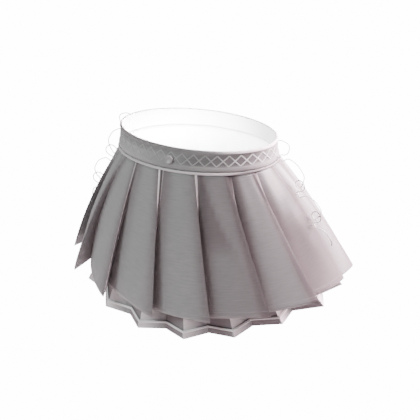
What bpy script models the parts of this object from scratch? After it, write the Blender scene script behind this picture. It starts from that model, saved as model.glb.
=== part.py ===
"""Two-layer pleated mini skirt, standing open and hollow as if filled out by a wearer.

Metres, +Z up. X is the width (the wearer's left is +X), -Y is the front. The origin is
the middle of the waist opening, level with the top of the waistband, where the skirt is held.
Angles are in degrees from the centre front, growing towards +X.
"""
import math

import bmesh
import bpy
from mathutils import Vector

for old in list(bpy.data.objects):
    bpy.data.objects.remove(old, do_unlink=True)

# Waist: an oval that grows a little from the rim to the seam
WAIST_HALF_WIDTH = 0.1335
WAIST_HALF_DEPTH = 0.0900
SEAM_HALF_WIDTH = 0.1352
SEAM_HALF_DEPTH = 0.1020
SEAM_Z = -0.0380
SEAM_GAP = 0.0003

# Waistband section: (height, distance out from the oval)
BAND_INSIDE = ((-0.0335, -0.0020), (-0.0170, -0.0020), (-0.0015, -0.0020))
BAND_LIP = ((0.0, -0.0008), (0.0, 0.0009), (-0.0012, 0.0019), (-0.0040, 0.0019), (-0.0056, 0.0006))
BAND_FOOT = ((-0.0252, 0.0010), (-0.0285, 0.0014), (-0.0318, 0.0010), (-0.0335, -0.0004))
LATTICE_TOP_Z = -0.0064
LATTICE_FOOT_Z = -0.0238
LATTICE_CELLS = 38
LATTICE_BAR_HALF_WIDTH = 0.0010
LATTICE_BAR_HEIGHT = 0.0008

# Piping under the band
PIPING_Z = -0.0358
PIPING_OUT = 0.0003
PIPING_HALF_HEIGHT = 0.0020
PIPING_HALF_THICKNESS = 0.0019
PIPING_STEPS = 64
PIPING_SIDES = 7

# Button at the centre front
BUTTON_X = -0.0015
BUTTON_Z = -0.0195
BUTTON_RADIUS = 0.0070
BUTTON_THICKNESS = 0.0028
BUTTON_SEAT_OUT = 0.0013

# Hems: both lie on a plane that rises towards the back, round a centre behind the waist's
HEM_CENTRE_Y = 0.070
HEM_RISE = 0.1792
OUTER_HEM_Z = -0.2499
UNDER_HEM_Z = -0.2859

# Outer skirt
OUTER_WALL = 0.0013
OUTER_TOP_Z = -0.0381
FOLD_OUT_AT_WAIST = 0.0006
FOLD_IN_AT_WAIST = -0.0013
TUCK_OPEN_AT_WAIST = 0.0050
OUTER_ROWS = (0.0, 0.05, 0.13, 0.25, 0.42, 0.62, 0.82, 1.0)
FACE_BULGE_AT_HEM = 0.0060
# One pleat face, from the tucked fold to the proud fold: (share of the width, share of the bulge)
FACE_SECTION = ((0.0, 0.0), (0.10, 0.40), (0.28, 0.82), (0.55, 1.0), (0.80, 0.72), (0.94, 0.32))

# One row for each knife pleat, at its proud fold: waist angle, hem angle, hem reach, depth of
# the tuck and how far it runs back under at the hem, and how soon the panel swings out
OUTER_PLEATS = (
    (-62.0, -73.4, 0.2470, 0.0260, 0.0260, 0.38),
    (-47.2, -55.6, 0.2404, 0.0300, 0.0290, 0.36),
    (-29.5, -30.6, 0.2212, 0.0260, 0.0300, 0.20),
    (-7.8, -2.2, 0.2160, 0.0220, 0.0280, 0.15),
    (18.8, 23.8, 0.2176, 0.0200, 0.0270, -0.20),
    (42.5, 48.9, 0.2276, 0.0210, 0.0260, -0.12),
    (64.5, 69.8, 0.2400, 0.0220, 0.0240, -0.09),
    (86.0, 88.0, 0.2345, 0.0180, 0.0220, 0.27),
    (101.0, 98.0, 0.2340, 0.0220, 0.0200, 0.20),
    (124.0, 118.0, 0.1990, 0.0190, 0.0240, 0.15),
    (149.0, 141.0, 0.1900, 0.0190, 0.0250, 0.12),
    (175.0, 166.0, 0.1890, 0.0190, 0.0250, 0.12),
    (201.0, 192.0, 0.1930, 0.0200, 0.0250, 0.12),
    (227.0, 218.0, 0.2060, 0.0200, 0.0260, 0.15),
    (253.0, 243.0, 0.2250, 0.0220, 0.0260, 0.22),
    (278.0, 266.0, 0.2430, 0.0240, 0.0260, 0.32),
)

# Under-skirt
UNDER_WALL = 0.0012
UNDER_TOP_Z = -0.0300
UNDER_OUT_AT_WAIST = -0.0034
UNDER_WAVE_AT_WAIST = 0.0002
UNDER_SWING = 1.6
UNDER_ROWS = (0.0, 0.06, 0.20, 0.40, 0.60, 0.80)
# One row for each fold pair: waist angle and hem angle and reach of the outer fold,
# then hem angle and reach of the inner fold after it
UNDER_FOLDS = (
    (-53.0, -63.1, 0.2130, -50.5, 0.1880),
    (-34.0, -37.6, 0.2010, -23.7, 0.1815),
    (-15.0, -12.3, 0.2004, 0.2, 0.1827),
    (7.0, 11.6, 0.2039, 22.3, 0.1840),
    (29.0, 34.3, 0.2038, 44.5, 0.1810),
    (51.0, 57.5, 0.2014, 67.7, 0.1817),
    (75.0, 79.1, 0.2142, 88.0, 0.1924),
    (96.0, 97.3, 0.2130, 107.0, 0.1850),
    (118.0, 116.5, 0.1840, 126.5, 0.1620),
    (140.0, 136.0, 0.1710, 146.5, 0.1510),
    (160.0, 157.0, 0.1650, 168.0, 0.1460),
    (181.0, 179.0, 0.1620, 190.5, 0.1440),
    (203.0, 202.0, 0.1660, 213.5, 0.1480),
    (227.0, 225.5, 0.1790, 237.5, 0.1600),
    (252.0, 249.5, 0.1960, 261.5, 0.1750),
    (280.0, 273.5, 0.2110, 285.5, 0.1880),
)

# Raised band round the under-skirt's hem
HEM_BAND_HEIGHT = 0.0132
HEM_BAND_SHOULDER = 0.0028
HEM_BAND_PROUD = 0.0022

# Hip cord: runs through three eyes on each side and bows out between them
CORD_RADIUS = 0.0008
EYE_RADIUS = 0.0022
EYE_WIRE = 0.0005
EYE_PASS = 0.0030
EYE_SEAT = 0.0003
CORD_POINTS = (15, 36, 36, 16)
# Distances out from the skirt and up, of the small loop over the first eye
CORD_START = ((-0.0027, 0.0268), (0.0030, 0.0278), (0.0095, 0.0262), (0.0150, 0.0232), (0.0173, 0.0175),
              (0.0145, 0.0087), (0.0085, 0.0042))
# Share of the way to the next eye, and the distances out and back, of each bow
CORD_BOW = ((0.115, 0.0012, 0.0), (0.070, 0.0076, 0.0), (0.030, 0.0130, 0.0004), (0.050, 0.0180, 0.0008),
            (0.170, 0.0256, 0.0014), (0.360, 0.0276, 0.0022), (0.510, 0.0260, 0.0030), (0.690, 0.0178, 0.0036))
# Distances out, up and back from an eye, of the loop that the cord makes over it
CORD_LOOP = ((0.0064, 0.0140, 0.0036), (0.0022, 0.0084, 0.0040), (-0.0030, 0.0108, 0.0032),
             (-0.0044, 0.0168, 0.0018), (-0.0004, 0.0222, 0.0), (0.0062, 0.0236, -0.0016),
             (0.0122, 0.0192, -0.0026), (0.0136, 0.0124, -0.0026), (0.0094, 0.0066, -0.0016))
# Distances down, out and back of the free end
CORD_END = ((0.0070, 0.0044, 0.0), (0.0066, 0.0092, 0.0), (0.0112, 0.0126, 0.0006), (0.0185, 0.0138, 0.0012),
            (0.0270, 0.0138, 0.0020), (0.0350, 0.0118, 0.0028), (0.0430, 0.0075, 0.0034))
# The first eye sits on the waistband's foot; the others on the skirt, at a pleat's number,
# a share of its face's width and a share of the skirt's height
BAND_EYE_ANGLES = {1.0: 99.0, -1.0: -99.0}
BAND_EYE_Z = -0.0290
BAND_EYE_OUT = 0.0017
RIGHT_EYES = ((8, 0.25, 0.265), (7, 0.94, 0.51))
LEFT_EYES = ((15, 0.88, 0.285), (0, 0.400, 0.53))


def lerp(a, b, share):
    return a + (b - a) * share


def waist_oval(z):
    share = z / SEAM_Z
    return (lerp(WAIST_HALF_WIDTH, SEAM_HALF_WIDTH, share),
            lerp(WAIST_HALF_DEPTH, SEAM_HALF_DEPTH, share))


def waist_point(angle, z, out):
    """A point beside the waist oval at this height, and the oval's outward direction there."""
    half_width, half_depth = waist_oval(z)
    t = math.radians(angle)
    normal = Vector((math.sin(t) / half_width, -math.cos(t) / half_depth, 0.0)).normalized()
    point = Vector((half_width * math.sin(t), -half_depth * math.cos(t), z))
    return point + normal * out, normal


def even_angles(count):
    """Angles that part the waist oval into equal lengths, the first at the centre front."""
    steps = 1440
    lengths = [0.0]
    last = waist_point(0.0, -0.015, 0.0)[0]
    for i in range(1, steps + 1):
        point = waist_point(360.0 * i / steps, -0.015, 0.0)[0]
        lengths.append(lengths[-1] + (point - last).length)
        last = point
    angles = []
    i = 0
    for k in range(count):
        goal = lengths[-1] * k / count
        while lengths[i + 1] <= goal:
            i += 1
        part = (goal - lengths[i]) / (lengths[i + 1] - lengths[i])
        angles.append(360.0 * (i + part) / steps)
    return angles, lengths[-1]


def hem_point(angle, reach, plane_z):
    t = math.radians(angle)
    radial = Vector((math.sin(t), -math.cos(t), 0.0))
    point = Vector((0.0, HEM_CENTRE_Y, 0.0)) + radial * reach
    point.z = plane_z + HEM_RISE * point.y
    return point, radial


def material(name, colour, roughness, metallic=0.0):
    mat = bpy.data.materials.new(name)
    mat.use_nodes = True
    shader = mat.node_tree.nodes["Principled BSDF"]
    shader.inputs["Base Color"].default_value = (*colour, 1.0)
    shader.inputs["Roughness"].default_value = roughness
    shader.inputs["Metallic"].default_value = metallic
    return mat


def add_object(name, mesh, mat, smooth_angle=35.0):
    mesh.materials.append(mat)
    mesh.shade_smooth()
    mesh.set_sharp_from_angle(angle=math.radians(smooth_angle))
    ob = bpy.data.objects.new(name, mesh)
    bpy.context.collection.objects.link(ob)
    return ob


def mesh_from(name, bm):
    bmesh.ops.recalc_face_normals(bm, faces=bm.faces[:])
    if bm.calc_volume(signed=True) < 0:
        bmesh.ops.reverse_faces(bm, faces=bm.faces[:])
    mesh = bpy.data.meshes.new(name)
    bm.to_mesh(mesh)
    bm.free()
    return mesh


def bridge(bm, low, high, closed):
    """Triangles between two rows of vertices, always split the same way."""
    count = len(low)
    for i in range(count if closed else count - 1):
        j = (i + 1) % count
        bm.faces.new((low[i], low[j], high[j]))
        bm.faces.new((low[i], high[j], high[i]))


def plan_normals(points):
    """Outward directions of a closed row of points seen from above, longer at sharp folds."""
    normals = []
    count = len(points)
    for i, point in enumerate(points):
        before = point - points[i - 1]
        after = points[(i + 1) % count] - point
        first = Vector((before.y, -before.x, 0.0)).normalized()
        second = Vector((after.y, -after.x, 0.0)).normalized()
        middle = (first + second).normalized()
        normals.append(middle / max(middle.dot(first), 0.36))
    return normals


def ring_solid(name, sections, angles):
    """A closed ring whose section, (height, distance out), is swept round the waist oval."""
    bm = bmesh.new()
    rows = []
    for z, out in sections:
        rows.append([bm.verts.new(waist_point(a, z, out)[0]) for a in angles])
    for i, row in enumerate(rows):
        bridge(bm, row, rows[(i + 1) % len(rows)], True)
    return mesh_from(name, bm)


def waistband_mesh():
    bm = bmesh.new()
    centres, length = even_angles(2 * LATTICE_CELLS)
    half = 360.0 * LATTICE_BAR_HALF_WIDTH / length
    corners = centres[0::2]
    middles = centres[1::2]
    low_half = LATTICE_BAR_HALF_WIDTH * 0.95
    mid_z = (LATTICE_TOP_Z + LATTICE_FOOT_Z) / 2

    def vert(angle, z, out):
        return bm.verts.new(waist_point(angle, z, out)[0])

    def row(z, out):
        return [vert(a + d, z, out) for a in corners for d in (-half, 0.0, half)]

    inside = [row(z, out) for z, out in BAND_INSIDE]
    lip = [row(z, out) for z, out in BAND_LIP]
    foot = [row(z, out) for z, out in BAND_FOOT]
    top = row(LATTICE_TOP_Z, 0.0)
    base = row(LATTICE_FOOT_Z, 0.0)
    upper = inside + lip + [top]
    lower = [base] + foot
    for part in (upper, lower):
        for i in range(len(part) - 1):
            bridge(bm, part[i], part[i + 1], True)
    bridge(bm, foot[-1], inside[0], True)

    rise = LATTICE_BAR_HEIGHT
    under_top = [vert(a, LATTICE_TOP_Z - low_half, 0.0) for a in corners]
    over_base = [vert(a, LATTICE_FOOT_Z + low_half, 0.0) for a in corners]
    crest = [vert(a, mid_z, rise) for a in middles]
    above = [vert(a, mid_z + low_half, 0.0) for a in middles]
    below = [vert(a, mid_z - low_half, 0.0) for a in middles]
    left = [vert(a - half, mid_z, 0.0) for a in middles]
    right = [vert(a + half, mid_z, 0.0) for a in middles]
    for k, a in enumerate(corners):
        top[3 * k + 1].co = waist_point(a, LATTICE_TOP_Z, rise)[0]
        base[3 * k + 1].co = waist_point(a, LATTICE_FOOT_Z, rise)[0]
    for k in range(LATTICE_CELLS):
        n = (k + 1) % LATTICE_CELLS
        top_crest, top_right = top[3 * k + 1], top[3 * k + 2]
        next_top_left, next_top = top[3 * n], top[3 * n + 1]
        base_crest, base_right = base[3 * k + 1], base[3 * k + 2]
        next_base_left, next_base = base[3 * n], base[3 * n + 1]
        for face in (
            (top_right, top_crest, crest[k], above[k]),
            (top_crest, under_top[k], left[k], crest[k]),
            (next_top, next_top_left, above[k], crest[k]),
            (under_top[n], next_top, crest[k], right[k]),
            (base_crest, base_right, below[k], crest[k]),
            (over_base[k], base_crest, crest[k], left[k]),
            (next_base_left, next_base, crest[k], below[k]),
            (next_base, over_base[n], right[k], crest[k]),
            (top_right, above[k], next_top_left),
            (base_right, next_base_left, below[k]),
            (under_top[n], right[k], over_base[n], left[n]),
        ):
            bm.faces.new(face)
    bmesh.ops.triangulate(bm, faces=[f for f in bm.faces if len(f.verts) > 3])
    return mesh_from("waistband", bm)


def flare(height_share, bell):
    """How far out a panel has swung, from 0 at the waist to 1 at the hem."""
    return height_share + bell * height_share * (1.0 - height_share)


def proud_fold(k, share):
    """The proud fold of one knife pleat at a share of the height, with its outward direction."""
    waist_angle, hem_angle, reach, _, _, bell = OUTER_PLEATS[k % len(OUTER_PLEATS)]
    top, out_top = waist_point(waist_angle, OUTER_TOP_Z, FOLD_OUT_AT_WAIST)
    hem, out_hem = hem_point(hem_angle, reach, OUTER_HEM_Z)
    swing = flare(share, bell)
    point = lerp(top, hem, swing)
    point.z = lerp(top.z, hem.z, share)
    return point, lerp(out_top, out_hem, share).normalized()


def tucked_fold(k, share):
    """The inner fold that the proud fold of pleat k turns back to, under the pleat."""
    _, _, _, depth, under, _ = OUTER_PLEATS[k % len(OUTER_PLEATS)]
    point, out = proud_fold(k, share)
    along = Vector((-out.y, out.x, 0.0))
    inward = lerp(FOLD_OUT_AT_WAIST - FOLD_IN_AT_WAIST, depth, share ** 1.15)
    shift = TUCK_OPEN_AT_WAIST * (1.0 - share) ** 2 - under * share ** 1.6
    moved = point - out * inward + along * shift
    moved.z = point.z + HEM_RISE * (moved.y - point.y) * share
    return moved


def pleat_face(k, across, bulge, share):
    """A point on the face of pleat k, between the fold tucked under its neighbour and its own."""
    start = tucked_fold(k - 1, share)
    end, out = proud_fold(k, share)
    chord = end - start
    normal = Vector((chord.y, -chord.x, 0.0)).normalized()
    # At the waist the face follows the oval instead of its chord
    mid = (tucked_fold(k - 1, 0.0) + proud_fold(k, 0.0)[0]) / 2
    half_width, half_depth = waist_oval(OUTER_TOP_Z)
    scale = math.sqrt((mid.x / half_width) ** 2 + (mid.y / half_depth) ** 2)
    sag = mid.length * (1.0 / scale - 1.0) - 0.0003
    at_waist = 4.0 * across * (1.0 - across) * max(sag, 0.0)
    swell = lerp(at_waist, bulge * FACE_BULGE_AT_HEM, share)
    return start + chord * across + normal * swell


def outer_row(share):
    row = []
    for k in range(len(OUTER_PLEATS)):
        for across, bulge in FACE_SECTION:
            row.append(pleat_face(k, across, bulge, share))
        row.append(proud_fold(k, share)[0])
        row.append((proud_fold(k, share)[0] + tucked_fold(k, share)) / 2)
    return row


OUTER_COLUMNS = len(FACE_SECTION) + 2


def under_fold(k, inner, share):
    count = len(UNDER_FOLDS)
    waist_angle, out_angle, out_reach, in_angle, in_reach = UNDER_FOLDS[k % count]
    next_waist = UNDER_FOLDS[(k + 1) % count][0] + (360.0 if k % count == count - 1 else 0.0)
    if inner:
        waist_angle = (waist_angle + next_waist) / 2
    wave = -UNDER_WAVE_AT_WAIST if inner else UNDER_WAVE_AT_WAIST
    top, _ = waist_point(waist_angle, UNDER_TOP_Z, UNDER_OUT_AT_WAIST + wave)
    angle, reach = (in_angle, in_reach) if inner else (out_angle, out_reach)
    hem, _ = hem_point(angle, reach, UNDER_HEM_Z)
    swing = share ** UNDER_SWING
    point = lerp(top, hem, swing)
    point.z = lerp(top.z, hem.z, share)
    return point


def under_share(column, height):
    """The share of the height at which a column is this far above the hem."""
    k, place = divmod(column, 4)
    top = under_fold(k, place >= 2, 0.0)
    hem = under_fold(k, place >= 2, 1.0)
    return 1.0 - height / (top.z - hem.z)


def under_row(share=None, height=None):
    """Columns: outer fold, middle, inner fold, middle, all round."""
    row = []
    for k in range(len(UNDER_FOLDS)):
        shares = [share if share is not None else under_share(4 * k + i, height) for i in range(4)]
        out = under_fold(k, False, shares[0])
        inn = under_fold(k, True, shares[2])
        after = under_fold(k + 1, False, shares[0])
        sag = 0.0007 * (1.0 - shares[0])
        row.append(out)
        for one, two in ((out, inn), (inn, after)):
            chord = two - one
            normal = Vector((chord.y, -chord.x, 0.0)).normalized()
            row.append((one + two) / 2 + normal * sag)
            if one is out:
                row.append(inn)
    return row


def half_shell(name, rows, offsets, first, last):
    """One half of a closed wall: the columns from first to last, ends 0.15 mm short of the seam.

    rows are closed rows of points. offsets holds, for each row, the wall's inner and outer
    distance from them.
    """
    bm = bmesh.new()
    inner, outer = [], []
    count = len(rows[0])
    columns = [(first + i) % count for i in range((last - first) % count + 1)]
    for row, (near, far) in zip(rows, offsets):
        normals = plan_normals(row)
        points = [row[c].copy() for c in columns]
        step = (points[1] - points[0]).normalized() * SEAM_GAP * 0.6
        back = (points[-2] - points[-1]).normalized() * SEAM_GAP * 0.6
        points[0] += step
        points[-1] += back
        inner.append([bm.verts.new(p + normals[c] * near) for p, c in zip(points, columns)])
        outer.append([bm.verts.new(p + normals[c] * far) for p, c in zip(points, columns)])
    for i in range(len(rows) - 1):
        bridge(bm, outer[i], outer[i + 1], False)
        bridge(bm, inner[i], inner[i + 1], False)
        for side in (0, -1):
            bm.faces.new((outer[i][side], inner[i][side], inner[i + 1][side]))
            bm.faces.new((outer[i][side], inner[i + 1][side], outer[i + 1][side]))
    bridge(bm, outer[0], inner[0], False)
    bridge(bm, outer[-1], inner[-1], False)
    return mesh_from(name, bm)


def button_mesh():
    bm = bmesh.new()
    section = ((0.0, 0.0), (1.0, 0.0), (1.0, 0.55), (0.90, 0.92), (0.76, 1.0), (0.60, 0.80), (0.0, 0.62))
    sides = 20
    rings = []
    for reach, height in section:
        if reach == 0.0:
            rings.append([bm.verts.new((0.0, -height * BUTTON_THICKNESS, 0.0))])
            continue
        ring = []
        for i in range(sides):
            t = 2.0 * math.pi * i / sides
            ring.append(bm.verts.new((reach * BUTTON_RADIUS * math.cos(t), -height * BUTTON_THICKNESS,
                                      reach * BUTTON_RADIUS * math.sin(t))))
        rings.append(ring)
    for low, high in zip(rings, rings[1:]):
        for i in range(sides):
            j = (i + 1) % sides
            if len(low) == 1:
                bm.faces.new((low[0], high[i], high[j]))
            elif len(high) == 1:
                bm.faces.new((low[i], high[0], low[j]))
            else:
                bm.faces.new((low[i], low[j], high[j], high[i]))
    return mesh_from("front_button", bm)


def eye_frame(k, across, share):
    """Seat of a cord eye: its middle, the skirt's outward direction and the way down the panel."""
    bulge = 4.0 * across * (1.0 - across)
    here = pleat_face(k, across, bulge, share)
    lower = pleat_face(k, across, bulge, share + 0.04)
    beside = pleat_face(k, across + 0.04, bulge, share)
    down = (lower - here).normalized()
    side = (beside - here).normalized()
    out = down.cross(side).normalized()
    if out.x * here.x < 0:
        out = -out
    middle = here + out * (OUTER_WALL * 0.5 + SEAM_GAP + EYE_SEAT + EYE_RADIUS + EYE_WIRE)
    return middle, out, down


def eye_frames(eyes, side):
    middle, out = waist_point(BAND_EYE_ANGLES[side], BAND_EYE_Z, BAND_EYE_OUT)
    seat = EYE_SEAT + EYE_RADIUS + EYE_WIRE
    return [(middle + out * seat, out, Vector((0.0, 0.0, -1.0)))] + [eye_frame(*eye) for eye in eyes]


def eye_mesh(name, middle, down):
    bm = bmesh.new()
    turn = down.to_track_quat("Z", "Y")
    steps, sides = 12, 6
    loops = []
    for i in range(steps):
        t = 2.0 * math.pi * i / steps
        loop = []
        for j in range(sides):
            u = 2.0 * math.pi * j / sides
            reach = EYE_RADIUS + EYE_WIRE * math.cos(u)
            local = Vector((reach * math.cos(t), reach * math.sin(t), EYE_WIRE * math.sin(u)))
            loop.append(bm.verts.new(middle + turn @ local))
        loops.append(loop)
    for i in range(steps):
        bridge(bm, loops[i], loops[(i + 1) % steps], True)
    return mesh_from(name, bm)


def smooth_path(points, count, before, after):
    """Catmull-Rom curve through the points, read at even lengths.

    before and after are the points past the two ends, which give the curve's way there.
    """
    dense = []
    ends = [before] + points + [after]
    for i in range(1, len(ends) - 2):
        a, b, c, d = ends[i - 1:i + 3]
        for j in range(24):
            t = j / 24.0
            dense.append(0.5 * ((2 * b) + (c - a) * t + (2 * a - 5 * b + 4 * c - d) * t * t
                                + (3 * b - a - 3 * c + d) * t * t * t))
    dense.append(points[-1])
    lengths = [0.0]
    for one, two in zip(dense, dense[1:]):
        lengths.append(lengths[-1] + (two - one).length)
    path = []
    i = 0
    for k in range(count):
        goal = lengths[-1] * k / (count - 1)
        while i < len(lengths) - 2 and lengths[i + 1] < goal:
            i += 1
        share = (goal - lengths[i]) / max(lengths[i + 1] - lengths[i], 1e-9)
        path.append(lerp(dense[i], dense[i + 1], min(share, 1.0)))
    return path


def cord_route(eyes, side):
    """A small loop above the first eye, then a bow and a loop to each further eye, and a free end."""
    frames = eye_frames(eyes, side)

    def shift(out, up, back):
        return Vector((side * out, back, up))

    route = []
    for i in range(len(frames) + 1):
        points = []
        if i > 0:
            middle, _, down = frames[i - 1]
            before = middle - down * EYE_PASS
            points.append(middle + down * EYE_PASS)
        if i < len(frames):
            goal, _, goal_down = frames[i]
        if i == 0:
            points = [goal + shift(out, up, 0.0) for out, up in CORD_START]
            before = points[0] * 2 - points[1]
        elif i < len(frames):
            points += [lerp(middle, goal, share) + shift(out, 0.0, back) for share, out, back in CORD_BOW]
            points += [goal + shift(*place) for place in CORD_LOOP]
        else:
            points += [middle + down * drop + shift(out, 0.0, back) for drop, out, back in CORD_END]
        if i < len(frames):
            points.append(goal - goal_down * EYE_PASS)
            after = goal + goal_down * EYE_PASS
        else:
            after = points[-1] * 2 - points[-2]
        route += smooth_path(points, CORD_POINTS[i], before, after)
    return route


def cord_object(name, path, mat):
    curve = bpy.data.curves.new(name, "CURVE")
    curve.dimensions = "3D"
    curve.bevel_depth = CORD_RADIUS
    curve.bevel_resolution = 2
    curve.use_fill_caps = True
    spline = curve.splines.new("POLY")
    spline.points.add(len(path) - 1)
    for node, point in zip(spline.points, path):
        node.co = (*point, 1.0)
    curve.materials.append(mat)
    ob = bpy.data.objects.new(name, curve)
    bpy.context.collection.objects.link(ob)
    return ob


def main():
    band_cloth = material("waistband cloth", (0.62, 0.60, 0.60), 0.75)
    piping_cloth = material("piping cloth", (0.74, 0.72, 0.72), 0.6)
    outer_cloth = material("outer cloth", (0.64, 0.60, 0.61), 0.8)
    under_cloth = material("under cloth", (0.62, 0.59, 0.60), 0.8)
    hem_cloth = material("hem band cloth", (0.66, 0.62, 0.63), 0.7)
    button_plastic = material("button plastic", (0.66, 0.64, 0.64), 0.4)
    cord_thread = material("cord thread", (0.80, 0.81, 0.80), 0.5)
    eye_wire = material("eye wire", (0.82, 0.82, 0.82), 0.35)

    add_object("waistband", waistband_mesh(), band_cloth, 30.0)

    section = []
    for i in range(PIPING_SIDES):
        u = 2.0 * math.pi * i / PIPING_SIDES
        section.append((PIPING_Z + PIPING_HALF_HEIGHT * math.sin(u),
                        PIPING_OUT + PIPING_HALF_THICKNESS * math.cos(u)))
    angles = even_angles(PIPING_STEPS)[0]
    add_object("waist_piping", ring_solid("waist_piping", section, angles), piping_cloth, 70.0)

    button = add_object("front_button", button_mesh(), button_plastic)
    seat = waist_point(math.degrees(math.asin(BUTTON_X / WAIST_HALF_WIDTH)), BUTTON_Z, BUTTON_SEAT_OUT)
    lean = math.atan2(SEAM_HALF_DEPTH - WAIST_HALF_DEPTH, -SEAM_Z)
    button.location = seat[0]
    button.rotation_euler = (-lean, 0.0, 0.0)

    # Outer skirt: two halves, seamed in the middle of the tucks at the sides
    rows = [outer_row(share) for share in OUTER_ROWS]
    wall = [(-OUTER_WALL / 2, OUTER_WALL / 2)] * len(rows)
    right = 7 * OUTER_COLUMNS + OUTER_COLUMNS - 1
    left = 15 * OUTER_COLUMNS + OUTER_COLUMNS - 1
    add_object("outer_skirt_front", half_shell("outer_skirt_front", rows, wall, left, right), outer_cloth)
    add_object("outer_skirt_back", half_shell("outer_skirt_back", rows, wall, right, left), outer_cloth)

    # Under-skirt, with one row of points at the top of its hem band
    rows = [under_row(share=share) for share in UNDER_ROWS]
    band_top = under_row(height=HEM_BAND_HEIGHT)
    hem = under_row(share=1.0)
    rows += [band_top, hem]
    wall = [(-UNDER_WALL / 2, UNDER_WALL / 2)] * len(rows)
    right = 6 * 4 + 3
    left = 14 * 4 + 3
    add_object("under_skirt_front", half_shell("under_skirt_front", rows, wall, left, right), under_cloth)
    add_object("under_skirt_back", half_shell("under_skirt_back", rows, wall, right, left), under_cloth)

    # Hem band: the under-skirt's own points, moved out
    near = UNDER_WALL / 2 + SEAM_GAP
    shoulder = [lerp(a, b, HEM_BAND_SHOULDER / HEM_BAND_HEIGHT) for a, b in zip(band_top, hem)]
    rows = [band_top, shoulder, hem]
    band = [(near, near + 0.0009), (near, near + HEM_BAND_PROUD), (near, near + HEM_BAND_PROUD)]
    add_object("hem_band_front", half_shell("hem_band_front", rows, band, left, right), hem_cloth)
    add_object("hem_band_back", half_shell("hem_band_back", rows, band, right, left), hem_cloth)

    for side_name, eyes, side in (("right", RIGHT_EYES, 1.0), ("left", LEFT_EYES, -1.0)):
        for i, (middle, _, down) in enumerate(eye_frames(eyes, side)):
            name = "cord_eye_%s_%d" % (side_name, i + 1)
            add_object(name, eye_mesh(name, middle, down), eye_wire)
        cord_object("hip_cord_" + side_name, cord_route(eyes, side), cord_thread)


main()
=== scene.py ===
"""Dresses the two-layer pleated mini skirt: cloth, trim, sewing, hip cords and a pale studio.

Metres, +Z up. X is the width, -Y is the front, and the origin is the middle of the waist
opening. Angles are in degrees from the centre front, growing towards +X.
"""
import math

import bmesh
import bpy
from mathutils import Matrix, Vector


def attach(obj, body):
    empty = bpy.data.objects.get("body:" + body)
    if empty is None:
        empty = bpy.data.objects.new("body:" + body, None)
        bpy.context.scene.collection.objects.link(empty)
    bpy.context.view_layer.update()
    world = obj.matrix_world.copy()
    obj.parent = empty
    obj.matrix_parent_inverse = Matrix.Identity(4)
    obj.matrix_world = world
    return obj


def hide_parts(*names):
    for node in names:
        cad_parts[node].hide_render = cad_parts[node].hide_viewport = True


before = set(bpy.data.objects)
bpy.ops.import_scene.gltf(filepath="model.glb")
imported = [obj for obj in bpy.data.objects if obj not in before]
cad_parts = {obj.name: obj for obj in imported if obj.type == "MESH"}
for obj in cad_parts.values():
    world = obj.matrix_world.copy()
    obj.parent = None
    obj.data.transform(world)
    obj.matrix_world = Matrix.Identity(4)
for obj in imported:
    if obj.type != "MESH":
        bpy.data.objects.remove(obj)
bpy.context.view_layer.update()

bl_info = {
    "name": "Pleated Mini Skirt",
    "version": (1, 0, 0),
    "blender": (4, 5, 0),
    "location": "3D View > Sidebar > Skirt",
    "description": "Cloth, trim, sewing and hip cords of a two-layer pleated mini skirt",
    "category": "Object",
}

# Waist: an oval that grows a little from the rim to the seam
WAIST_HALF_WIDTH = 0.1335
WAIST_HALF_DEPTH = 0.09
SEAM_HALF_WIDTH = 0.1352
SEAM_HALF_DEPTH = 0.102
SEAM_Z = -0.038
SEAM_GAP = 0.0003
OVAL_STEPS = 1440

# Waistband: a closed section of (height, distance out), from the inside foot over the lip and down
BAND_SECTION = (
    (-0.0328, -0.002), (-0.024, -0.0021), (-0.013, -0.0021), (-0.003, -0.002), (-0.0008, -0.0017),
    (0.0, -0.0008), (0.0, 0.0006), (-0.0007, 0.0016), (-0.002, 0.002), (-0.0036, 0.0019),
    (-0.005, 0.0012), (-0.006, 0.0003), (-0.0074, 0.0), (-0.015, 0.0), (-0.0226, 0.0),
    (-0.024, 0.0004), (-0.0252, 0.001), (-0.027, 0.0014), (-0.029, 0.0014), (-0.031, 0.0011),
    (-0.0326, 0.0003), (-0.0335, -0.0006), (-0.0335, -0.0014),
)
BAND_COLUMNS = 360
BAND_LENGTH_Z = -0.015
# Where its painted light changes: on the inside, at the foot of the lip and at both ends of the recess
BAND_INSIDE_OUT = -0.0012
LIP_FOOT_Z = -0.0038
RECESS_TOP_Z = -0.008
RECESS_FOOT_Z = -0.0242

# Crossed braid in the band's recess, with its section as (place across, height) in shares. Where
# two bars cross, one is higher by the last factor
LATTICE_TOP_Z = -0.0076
LATTICE_FOOT_Z = -0.0246
LATTICE_CELLS = 38
LATTICE_HALF_WIDTH = 0.00095
LATTICE_HEIGHT = 0.0005
LATTICE_SECTION = (
    (-1.0, -0.15), (-1.0, 0.45), (-0.6, 0.95), (0.0, 1.1), (0.6, 0.95), (1.0, 0.45), (1.0, -0.15),
)
LATTICE_STEPS = 14
LATTICE_OVER = 1.18

# Piping under the band
PIPING_Z = -0.0358
PIPING_OUT = 0.0003
PIPING_HALF_HEIGHT = 0.002
PIPING_HALF_THICKNESS = 0.0019
PIPING_SIDES = 14

# Button at the centre front, with half of its section as (place from the middle, height) in shares
BUTTON_X = -0.0015
BUTTON_Z = -0.0195
BUTTON_RADIUS = 0.007
BUTTON_THICKNESS = 0.0028
BUTTON_SEAT_OUT = 0.0013
BUTTON_SIDES = 48
BUTTON_SHARP_ANGLE = 60.0
BUTTON_SECTION = (
    (0.0, 0.0), (0.9, 0.0), (0.97, 0.1), (1.0, 0.3), (1.0, 0.58), (0.96, 0.84), (0.88, 0.97),
    (0.78, 1.0), (0.68, 0.93), (0.6, 0.78), (0.46, 0.66), (0.25, 0.61), (0.0, 0.6),
)

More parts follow.
